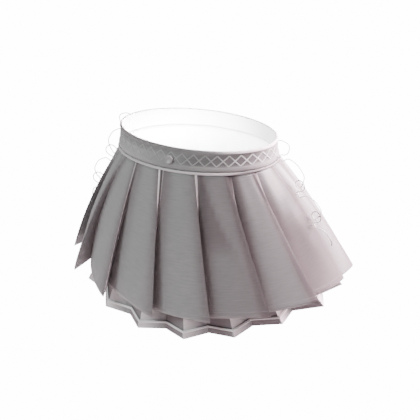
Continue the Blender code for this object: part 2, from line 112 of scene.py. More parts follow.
# Hems: both lie on a plane that rises towards the back, round a centre behind the waist's. The
# cloth's outer side faces away from an upright line between those centres
HEM_CENTRE_Y = 0.07
SKIRT_CENTRE_Y = 0.03
HEM_RISE = 0.1792
OUTER_HEM_Z = -0.2499
UNDER_HEM_Z = -0.2859

# Outer skirt
OUTER_WALL = 0.0013
OUTER_TOP_Z = -0.0381
FOLD_OUT_AT_WAIST = 0.0006
FOLD_IN_AT_WAIST = -0.0013
TUCK_OPEN_AT_WAIST = 0.005
OUTER_STEPS = 44
FACE_BULGE_AT_HEM = 0.006
FACE_SAG_LESS = 0.0003
FACE_SECTION = ((0.0, 0.0), (0.1, 0.4), (0.28, 0.82), (0.55, 1.0), (0.8, 0.72), (0.94, 0.32), (1.0, 0.0))
FACE_SHARES = (0.0, 0.01, 0.04, 0.08, 0.14, 0.2, 0.28, 0.37, 0.46, 0.55, 0.64, 0.73, 0.8, 0.86, 0.91, 0.95,
               0.98, 0.995, 1.0)
TUCK_SHARES = (0.005, 0.05, 0.25, 0.5, 0.75, 0.93)
# Share of the cloth's thickness at each of those: it thins to a pressed crease at a fold
FACE_WALLS = (0.3, 0.4, 0.7) + (1.0,) * 12 + (0.8, 0.5, 0.2, 0.1)
TUCK_WALLS = (0.1, 0.15, 0.6, 0.8, 0.7, 0.4)
PLEAT_COLUMNS = len(FACE_SHARES) + len(TUCK_SHARES)
LEFT_SEAM_PLEAT = 15
OUTER_SHARP_ANGLE = 40.0

# Slight unevenness of each panel: fine gathers at the waist and slow waves further down, both
# away from an upright line, and shifted by a step from panel to panel
GATHER_HEIGHT = 0.00035
DRAPE_HEIGHT = 0.001
DRAPE_CENTRE_Y = 0.02
PHASE_STEP = 2.399

# How much wider than the others the tuck of a pleat opens at the waist
TUCK_WIDER = {3: 0.0034, 4: -0.0008}

# Soft ridges (+) and troughs (-) laid on the panels: pleat, share of the height and place
# across the panel where it starts, the same where it ends, width across, height
CREASES = (
    (5, 0.0, 0.26, 0.78, 0.84, 0.15, 0.0017), (5, 0.0, 0.9, 0.2, 0.94, 0.06, 0.0008),
    (4, 0.0, 0.13, 0.24, 0.09, 0.07, 0.0011), (4, 0.0, 0.84, 0.32, 0.91, 0.08, -0.0011),
    (3, 0.0, 0.16, 0.26, 0.1, 0.08, 0.0011), (3, 0.0, 0.72, 0.38, 0.6, 0.15, -0.0007),
    (6, 0.0, 0.24, 0.58, 0.44, 0.16, 0.0013), (6, 0.0, 0.86, 0.26, 0.93, 0.07, -0.0009),
    (7, 0.0, 0.2, 0.42, 0.32, 0.12, 0.0011), (7, 0.3, 0.6, 0.95, 0.75, 0.14, 0.0012),
    (8, 0.0, 0.5, 0.5, 0.62, 0.14, 0.001), (9, 0.0, 0.3, 0.52, 0.5, 0.15, 0.0013),
    (10, 0.0, 0.7, 0.36, 0.8, 0.1, -0.001), (10, 0.0, 0.18, 0.24, 0.12, 0.08, 0.001),
    (11, 0.0, 0.2, 0.62, 0.46, 0.14, 0.0013), (12, 0.0, 0.8, 0.3, 0.87, 0.09, -0.001),
    (12, 0.1, 0.3, 0.8, 0.55, 0.16, 0.0012), (13, 0.0, 0.25, 0.5, 0.42, 0.13, 0.0012),
    (14, 0.0, 0.6, 0.42, 0.72, 0.12, -0.0009), (15, 0.0, 0.3, 0.42, 0.42, 0.12, 0.001),
    (0, 0.0, 0.35, 0.5, 0.5, 0.14, 0.001), (1, 0.0, 0.3, 0.34, 0.22, 0.1, 0.001),
    (1, 0.2, 0.6, 0.9, 0.72, 0.15, -0.0009), (2, 0.0, 0.34, 0.54, 0.5, 0.15, 0.001),
)

# How far the cloth's tone turns towards the painted shade of a fold, across a panel
LEFT_SHADE = ((0.0, 1.0), (0.08, 0.97), (0.18, 0.7), (0.29, 0.26), (0.4, 0.0))
RIGHT_SHADE = ((0.66, 0.0), (0.78, 0.1), (0.86, 0.32), (0.93, 0.7), (1.0, 1.0))

# Painted light on the panels that differ from the plain ones: how strong those two painted shades are,
# what is left of the left one at the waist, an even painted shade at the waist and at the hem, how pale
# the middle is near the waist (a painted highlight), and whether the right edge has a dark painted shade
PLAIN_PANEL = (1.0, 1.0, 0.0, 0.0, 0.0, 0.0)
PANEL_TONES = {
    0: (0.6, 1.0, 0.0, 0.0, 0.0, 0.0),
    1: (0.6, 1.0, 0.0, 0.0, 0.0, 0.0),
    5: (1.25, 1.0, 0.35, 0.35, 0.0, 1.0),
    6: (1.45, 1.0, 0.0, 0.0, 0.0, 1.0),
    7: (1.5, 0.3, 0.0, 0.78, 0.26, 1.0),
    8: (1.5, 0.3, 0.0, 0.0, 0.16, 1.0),
    9: (1.3, 1.0, 0.0, 0.0, 0.16, 0.0),
    15: (0.6, 1.0, 0.0, 0.0, 0.0, 0.0),
}
# Tone of the dark painted shade at a right edge
EDGE_TONE = 1.5

# Painted shadow on the upper left of one panel, with an edge that runs slanting down across it
SLANT_PLEAT = 5
SLANT_TONE = 0.65
SLANT_FROM = 0.16
SLANT_TO = 0.84
SLANT_END = 0.62

# Painted light on the cloth inside each tuck (painted shade above 0, painted highlight below 0), by the
# side next to the pleat's own fold, the middle and the side next to the following panel: at the waist, in
# the depth, and the share where it turns
TUCK_TONES = (
    ((0.0, 0.1), (0.2, 0.4), (0.1, 0.4), 1.0),
    ((0.0, 0.1), (0.4, 0.6), (0.2, 0.5), 1.0),
    ((-0.25, -0.8), (1.4, 1.3), (0.6, 1.0), 1.0),
    ((-1.0, 0.9), (1.8, 1.2), (-0.7, 1.0), 0.34),
    ((-1.0, 0.9), (-0.9, 1.2), (0.9, 1.0), 0.3),
    ((2.0, 2.0), (1.8, 1.8), (1.2, 1.2), 1.0),
    ((2.0, 2.0), (1.8, 1.8), (0.8, 1.2), 1.0),
    ((1.6, 2.0), (1.4, 1.6), (0.8, 1.0), 1.0),
) + (((1.0, 1.0), (1.2, 1.5), (0.8, 1.0), 1.0),) * 7 + (((0.5, 0.6), (0.8, 1.0), (0.5, 0.9), 1.0),)

# One row for each knife pleat, at its proud fold: waist angle, hem angle, hem reach, depth of
# the tuck and how far it runs back under at the hem, and how soon the panel swings out
OUTER_PLEATS = (
    (-62.0, -73.4, 0.247, 0.026, 0.026, 0.38),
    (-47.2, -55.6, 0.2404, 0.03, 0.029, 0.36),
    (-29.5, -30.6, 0.2212, 0.026, 0.03, 0.2),
    (-7.8, -2.2, 0.216, 0.022, 0.028, 0.15),
    (18.8, 23.8, 0.2176, 0.02, 0.027, -0.2),
    (42.5, 48.9, 0.2276, 0.021, 0.026, -0.12),
    (64.5, 69.8, 0.24, 0.022, 0.024, -0.09),
    (86.0, 88.0, 0.2345, 0.018, 0.022, 0.27),
    (101.0, 98.0, 0.234, 0.022, 0.02, 0.2),
    (124.0, 118.0, 0.199, 0.019, 0.024, 0.15),
    (149.0, 141.0, 0.19, 0.019, 0.025, 0.12),
    (175.0, 166.0, 0.189, 0.019, 0.025, 0.12),
    (201.0, 192.0, 0.193, 0.02, 0.025, 0.12),
    (227.0, 218.0, 0.206, 0.02, 0.026, 0.15),
    (253.0, 243.0, 0.225, 0.022, 0.026, 0.22),
    (278.0, 266.0, 0.243, 0.024, 0.026, 0.32),
)

# Under-skirt
UNDER_TOP_Z = -0.03
UNDER_OUT_AT_WAIST = -0.0031
UNDER_WAVE_AT_WAIST = 0.0002
UNDER_SWING = 1.6
UNDER_STEPS = 34
UNDER_SHARES = (0.0, 0.03, 0.12, 0.3, 0.5, 0.7, 0.88, 0.97)
UNDER_WALLS = (0.4, 0.6, 1.0, 1.0, 1.0, 1.0, 1.0, 0.6)
UNDER_COLUMNS = 2 * len(UNDER_SHARES)
UNDER_SEAM = 14 * UNDER_COLUMNS + UNDER_COLUMNS * 3 // 4
UNDER_SAG = 0.0007
UNDER_TOP_OUT = 0.0012
UNDER_SHARP_ANGLE = 32.0
# The least cosine that lengthens an outward step at a sharp fold
SHARPEST_FOLD = 0.36
# Painted light at the two ends of the facet after an outer fold (a painted highlight fading to a little
# painted shade), then painted shade at the two ends of the one after an inner fold
UNDER_TONES = ((-0.65, 0.2), (1.2, 0.8))
# One row for each fold pair: waist angle and hem angle and reach of the outer fold,
# then hem angle and reach of the inner fold after it
UNDER_FOLDS = (
    (-53.0, -63.1, 0.213, -50.5, 0.188),
    (-34.0, -37.6, 0.201, -23.7, 0.1815),
    (-15.0, -12.3, 0.2004, 0.2, 0.1827),
    (7.0, 11.6, 0.2039, 22.3, 0.184),
    (29.0, 34.3, 0.2038, 44.5, 0.181),
    (51.0, 57.5, 0.2014, 67.7, 0.1817),
    (75.0, 79.1, 0.2142, 88.0, 0.1924),
    (96.0, 97.3, 0.213, 107.0, 0.185),
    (118.0, 116.5, 0.184, 126.5, 0.162),
    (140.0, 136.0, 0.171, 146.5, 0.151),
    (160.0, 157.0, 0.165, 168.0, 0.146),
    (181.0, 179.0, 0.162, 190.5, 0.144),
    (203.0, 202.0, 0.166, 213.5, 0.148),
    (227.0, 225.5, 0.179, 237.5, 0.16),
    (252.0, 249.5, 0.196, 261.5, 0.175),
    (280.0, 273.5, 0.211, 285.5, 0.188),
)

# Raised band round the under-skirt's hem: (share of the way down it, distance out)
HEM_BAND_HEIGHT = 0.0132
HEM_BAND_SECTION = (
    (-0.04, 0.0003), (-0.03, 0.0006), (0.05, 0.0019), (0.06, 0.0021), (0.155, 0.0036), (0.16, 0.0037),
    (0.25, 0.0037), (0.265, 0.0037), (0.6, 0.0037), (0.97, 0.0037),
    (1.0, 0.0032), (1.0, 0.0012), (0.98, 0.0006), (0.5, 0.0004),
)
# Rows of that section with a painted highlight: the slope on top and the edge below it
HEM_BAND_HIGHLIGHT_ROWS = (3, 4, 5, 6)

# Hip cord
CORD_RADIUS = 0.0008
EYE_RADIUS = 0.0022
EYE_WIRE = 0.0005
EYE_PASS = 0.003
EYE_SEAT = 0.0003
EYE_STEP = 0.04
CORD_POINTS = (15, 36, 36, 16)
CORD_START = ((-0.0027, 0.0268), (0.003, 0.0278), (0.0095, 0.0262), (0.015, 0.0232), (0.0173, 0.0175),
              (0.0145, 0.0087), (0.0085, 0.0042))
CORD_BOW = ((0.115, 0.0012, 0.0), (0.07, 0.0076, 0.0), (0.03, 0.013, 0.0004), (0.05, 0.018, 0.0008),
            (0.17, 0.0256, 0.0014), (0.36, 0.0276, 0.0022), (0.51, 0.026, 0.003),
            (0.69, 0.0178, 0.0036))
CORD_LOOP = ((0.0064, 0.014, 0.0036), (0.0022, 0.0084, 0.004), (-0.003, 0.0108, 0.0032),
             (-0.0044, 0.0168, 0.0018), (-0.0004, 0.0222, 0.0), (0.0062, 0.0236, -0.0016),
             (0.0122, 0.0192, -0.0026), (0.0136, 0.0124, -0.0026), (0.0094, 0.0066, -0.0016))
CORD_END = ((0.007, 0.0044, 0.0), (0.0066, 0.0092, 0.0), (0.0112, 0.0126, 0.0006),
            (0.0185, 0.0138, 0.0012), (0.027, 0.0138, 0.002), (0.035, 0.0118, 0.0028),
            (0.043, 0.0075, 0.0034))
CORD_CURVE_STEPS = 24
CORD_DETAIL = 3
CORD_SIDES = 8
BAND_EYE_ANGLE = 99.0
BAND_EYE_Z = -0.029
BAND_EYE_OUT = 0.0017
RIGHT_EYES = ((8, 0.25, 0.265), (7, 0.94, 0.51))
LEFT_EYES = ((15, 0.88, 0.285), (0, 0.4, 0.53))

# Where the cord has painted shade: share of the way down a bow, how far out, and drop below the last eye
DARK_BOW_FROM = 0.35
DARK_BOW_TO = 0.8
DARK_BOW_OUT = 0.011
DARK_BOW_FADE = 0.25
DARK_DROP = 0.012
DARK_DROP_FADE = 0.022

# Sewing
STITCH_GAP_SHARE = 0.35
STITCH_RADIUS = 0.00024
HEM_STITCH_SHARE = 0.958
BAND_STITCH_ROWS = ((-0.0068, 0.0001), (-0.0233, 0.0001))

# Cloth: pitch of its threads, number of slubs and of broad patches in a metre across and down, the
# colour of its painted highlight, and how strong the slubs are in the skirt and the band
THREAD_PITCH = 0.0007
SLUBS = (50.0, 460.0)
PATCHES = (16.0, 9.0)
PAINTED_HIGHLIGHT_CLOTH = (0.95, 0.9, 0.91, 1.0)
SKIRT_SLUBS = 0.95
BAND_SLUBS = 0.6

# Camera, floor and lights
CAMERA_AZIMUTH = 27.2965
CAMERA_ELEVATION = 22.16
CAMERA_DISTANCE = 4.2761
CAMERA_TARGET = (0.0208, 0.0, -0.1369)
CAMERA_LENS = 225.27
FLOOR_Z = -0.6
FLOOR_SIZE = 6.0
MIDDLE = Vector((0.0, 0.0, -0.15))
RIGHT_HIP = Vector((0.1, -0.02, -0.1))
TOP_POWER = 10.5
HIGH_RIGHT_POWER = 25.0
INSIDE_POWER = 24.0
INSIDE_PLACE = (-0.045, 0.0, -0.055)
AMBIENT = 0.18
WHITE_GLOW = 15.0


def lerp(a, b, share):
    return a + (b - a) * share


def rise(x, low, high):
    """0 below low, 1 above high and smooth between."""
    t = max(0.0, min(1.0, (x - low) / (high - low)))
    return t * t * (3.0 - 2.0 * t)


def between(x, low, full, last, high):
    """0 below low, 1 from full to last, 0 above high and smooth between."""
    return rise(x, low, full) * (1.0 - rise(x, last, high))


def smooth_table(table, x):
    """A smooth curve through (x, y) pairs."""
    for i in range(len(table) - 1):
        if x <= table[i + 1][0]:
            break
    x0, y0 = table[i]
    x1, y1 = table[i + 1]
    before = table[i - 1] if i > 0 else (2 * x0 - x1, y0 - (y1 - y0) * 1.2)
    after = table[i + 2] if i + 2 < len(table) else (2 * x1 - x0, y1 + (y1 - y0) * 1.2)
    width = x1 - x0
    slope0 = (y1 - before[1]) / (x1 - before[0]) * width
    slope1 = (after[1] - y0) / (after[0] - x0) * width
    t = (x - x0) / width
    return ((2 * t**3 - 3 * t**2 + 1) * y0 + (t**3 - 2 * t**2 + t) * slope0
            + (-2 * t**3 + 3 * t**2) * y1 + (t**3 - t**2) * slope1)


def waist_oval(z):
    share = z / SEAM_Z
    return (lerp(WAIST_HALF_WIDTH, SEAM_HALF_WIDTH, share),
            lerp(WAIST_HALF_DEPTH, SEAM_HALF_DEPTH, share))


def waist_point(angle, z, out):
    """A point beside the waist oval at this height, and the oval's outward direction there."""
    half_width, half_depth = waist_oval(z)
    t = math.radians(angle)
    normal = Vector((math.sin(t) / half_width, -math.cos(t) / half_depth, 0.0)).normalized()
    point = Vector((half_width * math.sin(t), -half_depth * math.cos(t), z))
    return point + normal * out, normal


def even_angles(count):
    """Angles that part the waist oval into equal lengths, to the full turn, and its whole length."""
    oval = [waist_point(360.0 * i / OVAL_STEPS, BAND_LENGTH_Z, 0.0)[0] for i in range(OVAL_STEPS + 1)]
    lengths = running_lengths(oval)
    angles = []
    i = 0
    for k in range(count):
        goal = lengths[-1] * k / count
        while lengths[i + 1] <= goal:
            i += 1
        part = (goal - lengths[i]) / (lengths[i + 1] - lengths[i])
        angles.append(360.0 * (i + part) / OVAL_STEPS)
    return angles + [360.0], lengths[-1]


def running_lengths(points):
    """The length along a row of points up to each of them."""
    lengths = [0.0]
    for one, two in zip(points, points[1:]):
        lengths.append(lengths[-1] + (two - one).length)
    return lengths


def hem_point(angle, reach, plane_z):
    t = math.radians(angle)
    radial = Vector((math.sin(t), -math.cos(t), 0.0))
    point = Vector((0.0, HEM_CENTRE_Y, 0.0)) + radial * reach
    point.z = plane_z + HEM_RISE * point.y
    return point, radial


def proud_fold(k, share):
    """The proud fold of one knife pleat at a share of the height, with its outward direction."""
    waist_angle, hem_angle, reach, _, _, bell = OUTER_PLEATS[k % len(OUTER_PLEATS)]
    top, out_top = waist_point(waist_angle, OUTER_TOP_Z, FOLD_OUT_AT_WAIST)
    hem, out_hem = hem_point(hem_angle, reach, OUTER_HEM_Z)
    swing = share + bell * share * (1.0 - share)
    point = lerp(top, hem, swing)
    point.z = lerp(top.z, hem.z, share)
    return point, lerp(out_top, out_hem, share).normalized()


def tucked_fold(k, share):
    """The inner fold that the proud fold of pleat k turns back to, under the pleat."""
    _, _, _, depth, under, _ = OUTER_PLEATS[k % len(OUTER_PLEATS)]
    point, out = proud_fold(k, share)
    along = Vector((-out.y, out.x, 0.0))
    inward = lerp(FOLD_OUT_AT_WAIST - FOLD_IN_AT_WAIST, depth, share ** 1.15)
    shift = (TUCK_OPEN_AT_WAIST + TUCK_WIDER.get(k, 0.0)) * (1.0 - share) ** 2 - under * share ** 1.6
    moved = point - out * inward + along * shift
    moved.z = point.z + HEM_RISE * (moved.y - point.y) * share
    return moved


def pleat_face(k, across, bulge, share):
    """A point on the face of pleat k, between the fold tucked under its neighbour and its own."""
    start = tucked_fold(k - 1, share)
    end, out = proud_fold(k, share)
    chord = end - start
    normal = Vector((chord.y, -chord.x, 0.0)).normalized()
    mid = (tucked_fold(k - 1, 0.0) + proud_fold(k, 0.0)[0]) / 2
    half_width, half_depth = waist_oval(OUTER_TOP_Z)
    scale = math.sqrt((mid.x / half_width) ** 2 + (mid.y / half_depth) ** 2)
    sag = mid.length * (1.0 / scale - 1.0) - FACE_SAG_LESS
    at_waist = 4.0 * across * (1.0 - across) * max(sag, 0.0)
    swell = lerp(at_waist, bulge * FACE_BULGE_AT_HEM, share)
    return start + chord * across + normal * swell


def under_fold(k, inner, share):
    count = len(UNDER_FOLDS)
    waist_angle, out_angle, out_reach, in_angle, in_reach = UNDER_FOLDS[k % count]
    next_waist = UNDER_FOLDS[(k + 1) % count][0] + (360.0 if k % count == count - 1 else 0.0)
    if inner:
        waist_angle = (waist_angle + next_waist) / 2
    wave = -UNDER_WAVE_AT_WAIST if inner else UNDER_WAVE_AT_WAIST
    top, _ = waist_point(waist_angle, UNDER_TOP_Z, UNDER_OUT_AT_WAIST + wave)
    angle, reach = (in_angle, in_reach) if inner else (out_angle, out_reach)
    hem, _ = hem_point(angle, reach, UNDER_HEM_Z)
    swing = share ** UNDER_SWING
    point = lerp(top, hem, swing)
    point.z = lerp(top.z, hem.z, share)
    return point


def under_share(k, inner, height):
    """The share of the height at which a fold is this far above the hem."""
    top = under_fold(k, inner, 0.0)
    hem = under_fold(k, inner, 1.0)
    return 1.0 - height / (top.z - hem.z)


def plan_normals(points):
    """Outward directions of a closed row of points seen from above, longer where the row turns sharply."""
    normals = []
    count = len(points)
    for i, point in enumerate(points):
        before = point - points[i - 1]
        after = points[(i + 1) % count] - point
        first = Vector((before.y, -before.x, 0.0)).normalized()
        second = Vector((after.y, -after.x, 0.0)).normalized()
        middle = (first + second).normalized()
        normals.append(middle / max(middle.dot(first), SHARPEST_FOLD))
    return normals


def smooth_path(points, count, before, after):
    """Catmull-Rom curve through the points, read at even lengths."""
    dense = []
    ends = [before] + points + [after]
    for i in range(1, len(ends) - 2):
        a, b, c, d = ends[i - 1:i + 3]
        for j in range(CORD_CURVE_STEPS):
            t = j / CORD_CURVE_STEPS
            dense.append(0.5 * ((2 * b) + (c - a) * t + (2 * a - 5 * b + 4 * c - d) * t * t
                                + (3 * b - a - 3 * c + d) * t * t * t))
    dense.append(points[-1])
    lengths = running_lengths(dense)
    path = []
    i = 0
    for k in range(count):
        goal = lengths[-1] * k / (count - 1)
        while i < len(lengths) - 2 and lengths[i + 1] < goal:
            i += 1
        share = (goal - lengths[i]) / max(lengths[i + 1] - lengths[i], 1e-9)
        path.append(lerp(dense[i], dense[i + 1], min(share, 1.0)))
    return path


def eye_frame(k, across, share):
    """Seat of a cord eye: its middle, the skirt's outward direction and the way down the panel."""
    bulge = 4.0 * across * (1.0 - across)
    here = pleat_face(k, across, bulge, share)
    lower = pleat_face(k, across, bulge, share + EYE_STEP)
    beside = pleat_face(k, across + EYE_STEP, bulge, share)
    down = (lower - here).normalized()
    side = (beside - here).normalized()
    out = down.cross(side).normalized()
    if out.x * here.x < 0:
        out = -out
    middle = here + out * (OUTER_WALL * 0.5 + SEAM_GAP + EYE_SEAT + EYE_RADIUS + EYE_WIRE)
    return middle, out, down


def eye_frames(eyes, side):
    middle, out = waist_point(side * BAND_EYE_ANGLE, BAND_EYE_Z, BAND_EYE_OUT)
    seat = EYE_SEAT + EYE_RADIUS + EYE_WIRE
    return [(middle + out * seat, out, Vector((0.0, 0.0, -1.0)))] + [eye_frame(*eye) for eye in eyes]


def cord_route(eyes, side):
    """A small loop above the first eye, then a bow and a loop to each further eye, and a free end."""
    frames = eye_frames(eyes, side)

    def shift(out, up, back):
        return Vector((side * out, back, up))

    route = []
    for i in range(len(frames) + 1):
        points = []
        if i > 0:
            middle, _, down = frames[i - 1]
            before = middle - down * EYE_PASS
            points.append(middle + down * EYE_PASS)
        if i < len(frames):
            goal, _, goal_down = frames[i]
        if i == 0:
            points = [goal + shift(out, up, 0.0) for out, up in CORD_START]
            before = points[0] * 2 - points[1]
        elif i < len(frames):
            points += [lerp(middle, goal, share) + shift(out, 0.0, back) for share, out, back in CORD_BOW]
            points += [goal + shift(*place) for place in CORD_LOOP]
        else:
            points += [middle + down * drop + shift(out, 0.0, back) for drop, out, back in CORD_END]
        if i < len(frames):
            points.append(goal - goal_down * EYE_PASS)
            after = goal + goal_down * EYE_PASS
        else:
            after = points[-1] * 2 - points[-2]
        part = smooth_path(points, CORD_POINTS[i] * CORD_DETAIL, before, after)
        if route and (part[0] - route[-1]).length < 0.0002:
            part = part[1:]
        route += part
    return route


def cord_painted_shade(route, eyes, side):
    """How dark the painted shade on the cord is at each point: on the lower half of each bow and at its
    free end.
    """
    frames = eye_frames(eyes, side)
    tones = []
    for point in route:
        tone = 0.0
        for (upper, _, _), (lower, _, _) in zip(frames, frames[1:]):
            share = (upper.z - point.z) / (upper.z - lower.z)
            line = lerp(upper, lower, max(0.0, min(1.0, share)))
            stand = side * (point.x - line.x)
            if DARK_BOW_FROM < share < DARK_BOW_TO and stand > DARK_BOW_OUT:
                tone = max(tone, min(1.0, (share - DARK_BOW_FROM) / DARK_BOW_FADE))
        drop = frames[-1][0].z - point.z
        if drop > DARK_DROP:
            tone = max(tone, min(1.0, (drop - DARK_DROP) / DARK_DROP_FADE))
        tones.append(tone)
    return tones


def cord_tube(name, route, tones):
    """A round cord along a route, closed at both ends."""
    turns = [2.0 * math.pi * j / CORD_SIDES for j in range(CORD_SIDES + 1)]
    across = None
    rows = []
    for i, point in enumerate(route):
        along = (route[min(i + 1, len(route) - 1)] - route[max(i - 1, 0)]).normalized()
        if across is None:
            across = along.orthogonal()
        across = (across - along * across.dot(along)).normalized()
        beside = along.cross(across)
        rows.append([point + (across * math.cos(u) + beside * math.sin(u)) * CORD_RADIUS for u in turns])
    painted_light = [[tone] * (CORD_SIDES + 1) for tone in tones]
    return cloth_grid(name, rows, painted_light, close_around=True)


class Value:
    """A shader socket. Adding, taking away and multiplying make Math nodes."""

    def __init__(self, shader, socket):
        self.shader = shader
        self.socket = socket

    def math(self, operation, first, second=0.0):
        return self.shader.add("ShaderNodeMath", {0: first, 1: second}, operation=operation)

    def __add__(self, other):
        return self.math("ADD", self, other)

    __radd__ = __add__

    def __sub__(self, other):
        return self.math("SUBTRACT", self, other)

    def __rsub__(self, other):
        return self.math("SUBTRACT", other, self)

    def __mul__(self, other):
        return self.math("MULTIPLY", self, other)

    def sine(self):
        return self.math("SINE", self)

    def limit(self, low, high):
        """0 below low, 1 above high and smooth between."""
        return self.shader.add("ShaderNodeMapRange", {0: self, 1: low, 2: high, 3: 0.0, 4: 1.0},
                               interpolation_type="SMOOTHSTEP")


class Shader:
    """A new material and the nodes that are added to it."""

    def __init__(self, name, **constants):
        self.material = bpy.data.materials.new(name)
        self.material.use_nodes = True
        self.tree = self.material.node_tree
        self.surface = self.tree.nodes["Principled BSDF"]
        for socket, value in constants.items():
            self.surface.inputs[socket.replace("_", " ")].default_value = value

    def feed(self, socket, value):
        if isinstance(value, Value):
            self.tree.links.new(value.socket, socket)
        elif value is not None:
            socket.default_value = value

    def add(self, kind, values=None, output=0, **settings):
        node = self.tree.nodes.new(kind)
        for name, setting in settings.items():
            setattr(node, name, setting)
        for name, value in (values or {}).items():
            self.feed(node.inputs[name], value)
        return Value(self, node.outputs[output])

    def object_place(self):
        return self.add("ShaderNodeTexCoord", output="Object")

    def cloth_place(self):
        """The place on the cloth in metres, across and down."""
        return self.add("ShaderNodeUVMap", uv_map="Cloth")

    def attribute(self, name):
        return self.add("ShaderNodeAttribute", output="Fac", attribute_name=name)

    def parts(self, vector):
        split = self.tree.nodes.new("ShaderNodeSeparateXYZ")
        self.feed(split.inputs[0], vector)
        return [Value(self, output) for output in split.outputs]

    def vector(self, x, y):
        return self.add("ShaderNodeCombineXYZ", {0: x, 1: y})

    def noise(self, place, scale, detail=2.0, roughness=0.5):
        return self.add("ShaderNodeTexNoise",
                        {"Vector": place, "Scale": scale, "Detail": detail, "Roughness": roughness})

    def grain(self, scale, dark, light, detail=2.0):
        """Fine grain all through a piece, and its colour from dark to light."""
        noise = self.noise(self.object_place(), scale, detail)
        return noise, self.mix(noise, dark, light)

    def mix(self, factor, first, second, blend="MIX"):
        return self.add("ShaderNodeMix", {"Factor": factor, 6: first, 7: second}, output=2,
                        data_type="RGBA", blend_type=blend)

    def bump(self, height, strength, distance):
        return self.add("ShaderNodeBump", {"Height": height, "Strength": strength, "Distance": distance})

    def finish(self, colour, roughness, normal):
        self.feed(self.surface.inputs["Base Color"], colour)
        self.feed(self.surface.inputs["Roughness"], roughness)
        self.feed(self.surface.inputs["Normal"], normal)
        return self.material


def tinted(colour, factor=1.0):
    return (colour[0] * factor, colour[1] * factor, colour[2] * factor, 1.0)


def woven_material(name, middle, edge, streak, sheen=0.25):
    """Fine plain-woven cloth: crossing threads, crosswise slubs, and painted shade towards a fold with a
    painted highlight.
    """
    cloth = Shader(name, Sheen_Weight=sheen, Sheen_Roughness=0.5, Specular_IOR_Level=0.3)
    across, down, _ = cloth.parts(cloth.cloth_place())
    turn = 2.0 * math.pi / THREAD_PITCH
    threads = (across * turn).sine() * (down * turn).sine()
    slubs = cloth.noise(cloth.vector(across * SLUBS[0], down * SLUBS[1]), 1.0, 3.0, 0.6)
    patches = cloth.noise(cloth.vector(across * PATCHES[0], down * PATCHES[1]), 1.0, 2.0, 0.5)
    # Painted light from the fold attribute: painted shade up to 1, a deeper painted shade above 1, and a
    # painted highlight below 0
    fold = cloth.attribute("fold")
    tone = cloth.mix(fold, tinted(middle), tinted(edge))
    tone = cloth.mix(fold - 1.0, tone, tinted(edge, 0.5))
    tone = cloth.mix(0.0 - fold, tone, PAINTED_HIGHLIGHT_CLOTH)
    light = (slubs - 0.5) * streak + (patches - 0.5) * 0.06
    darker = cloth.mix((0.5 - light).limit(0.0, 1.0), (1.0, 1.0, 1.0, 1.0), (0.72, 0.72, 0.72, 1.0))
    colour = cloth.mix(1.0, tone, darker, "MULTIPLY")
    rough = 0.72 + (slubs - 0.5) * 0.15
    return cloth.finish(colour, rough, cloth.bump(threads * 0.35 + slubs, 0.35, 0.00025))


def skirt_cloth():
    """The woven material of both skirt layers and the hem band, made once."""
    settings = bpy.context.scene.skirt
    found = bpy.data.materials.get("Skirt cloth")
    if found is None:
        found = woven_material("Skirt cloth", settings.cloth_middle, settings.cloth_fold_shade, SKIRT_SLUBS)
    return found


def linked(name, data):
    ob = bpy.data.objects.new(name, data)
    bpy.context.scene.collection.objects.link(ob)
    return ob


def new_object(name, bm):
    mesh = bpy.data.meshes.new(name)
    bm.to_mesh(mesh)
    bm.free()
    return linked(name, mesh)


def dress(ob, material, replaced=(), smooth_angle=None):
    """Gives a finished piece its material and its place among the skirt's pieces."""
    ob.data.materials.clear()
    ob.data.materials.append(material)
    if ob.type == "MESH":
        ob.data.shade_smooth()
        if smooth_angle is not None:
            ob.data.set_sharp_from_angle(angle=math.radians(smooth_angle))
    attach(ob, "root")
    if replaced:
        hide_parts(*replaced)
    return ob


def cloth_grid(name, points, painted_light, walls=None, close_around=False, close_section=False):
    """A sheet made from a grid. points[row][column] are its corners, the tones given for each [row][column]
    the painted light there (shade above 0, highlight below 0), and walls[column] the share of the cloth's
    thickness there. Its map is in metres."""
    rows = len(points) - 1
    columns = len(points[0]) - 1
    bm = bmesh.new()
    uv = bm.loops.layers.uv.new("Cloth")
    # The painted light (shade above 0, highlight below 0) is kept in the fold attribute
    fold = bm.verts.layers.float.new("fold")
    weights = bm.verts.layers.deform.verify()
    bmesh.ops.create_grid(bm, x_segments=columns, y_segments=rows, size=1.0)
    places = {}
    for vert in bm.verts:
        i = round((vert.co.x + 1.0) / 2.0 * columns)
        j = round((1.0 - vert.co.y) / 2.0 * rows)
        places[vert] = (i, j)
    across = [running_lengths(row) for row in points]
    down = running_lengths([row[0] for row in points])
    for face in bm.faces:
        for loop in face.loops:
            i, j = places[loop.vert]
            loop[uv].uv = (across[j][i], down[j])
    for vert, (i, j) in places.items():
        vert.co = points[j][i]
        vert[fold] = painted_light[j][i]
        vert[weights][0] = walls[i] if walls else 1.0
    if close_around or close_section:
        edge = [v for v, (i, j) in places.items()
                if (close_around and i in (0, columns)) or (close_section and j in (0, rows))]
        bmesh.ops.remove_doubles(bm, verts=edge, dist=0.000001)
        ends = [e for e in bm.edges if e.is_boundary]
        if ends:
            bmesh.ops.holes_fill(bm, edges=ends, sides=0)
    bmesh.ops.recalc_face_normals(bm, faces=bm.faces[:])
    ob = new_object(name, bm)
    ob.vertex_groups.new(name="Wall")
    return ob


def face_out(ob):
    """Turns a cloth shell so that its faces point away from the skirt's middle line."""
    bm = bmesh.new()
    bm.from_mesh(ob.data)
    total = 0.0
    for face in bm.faces:
        centre = face.calc_center_median()
        total += face.calc_area() * (face.normal.x * centre.x + face.normal.y * (centre.y - SKIRT_CENTRE_Y))
    if total < 0.0:
        bmesh.ops.reverse_faces(bm, faces=bm.faces[:])
    bm.to_mesh(ob.data)
    bm.free()


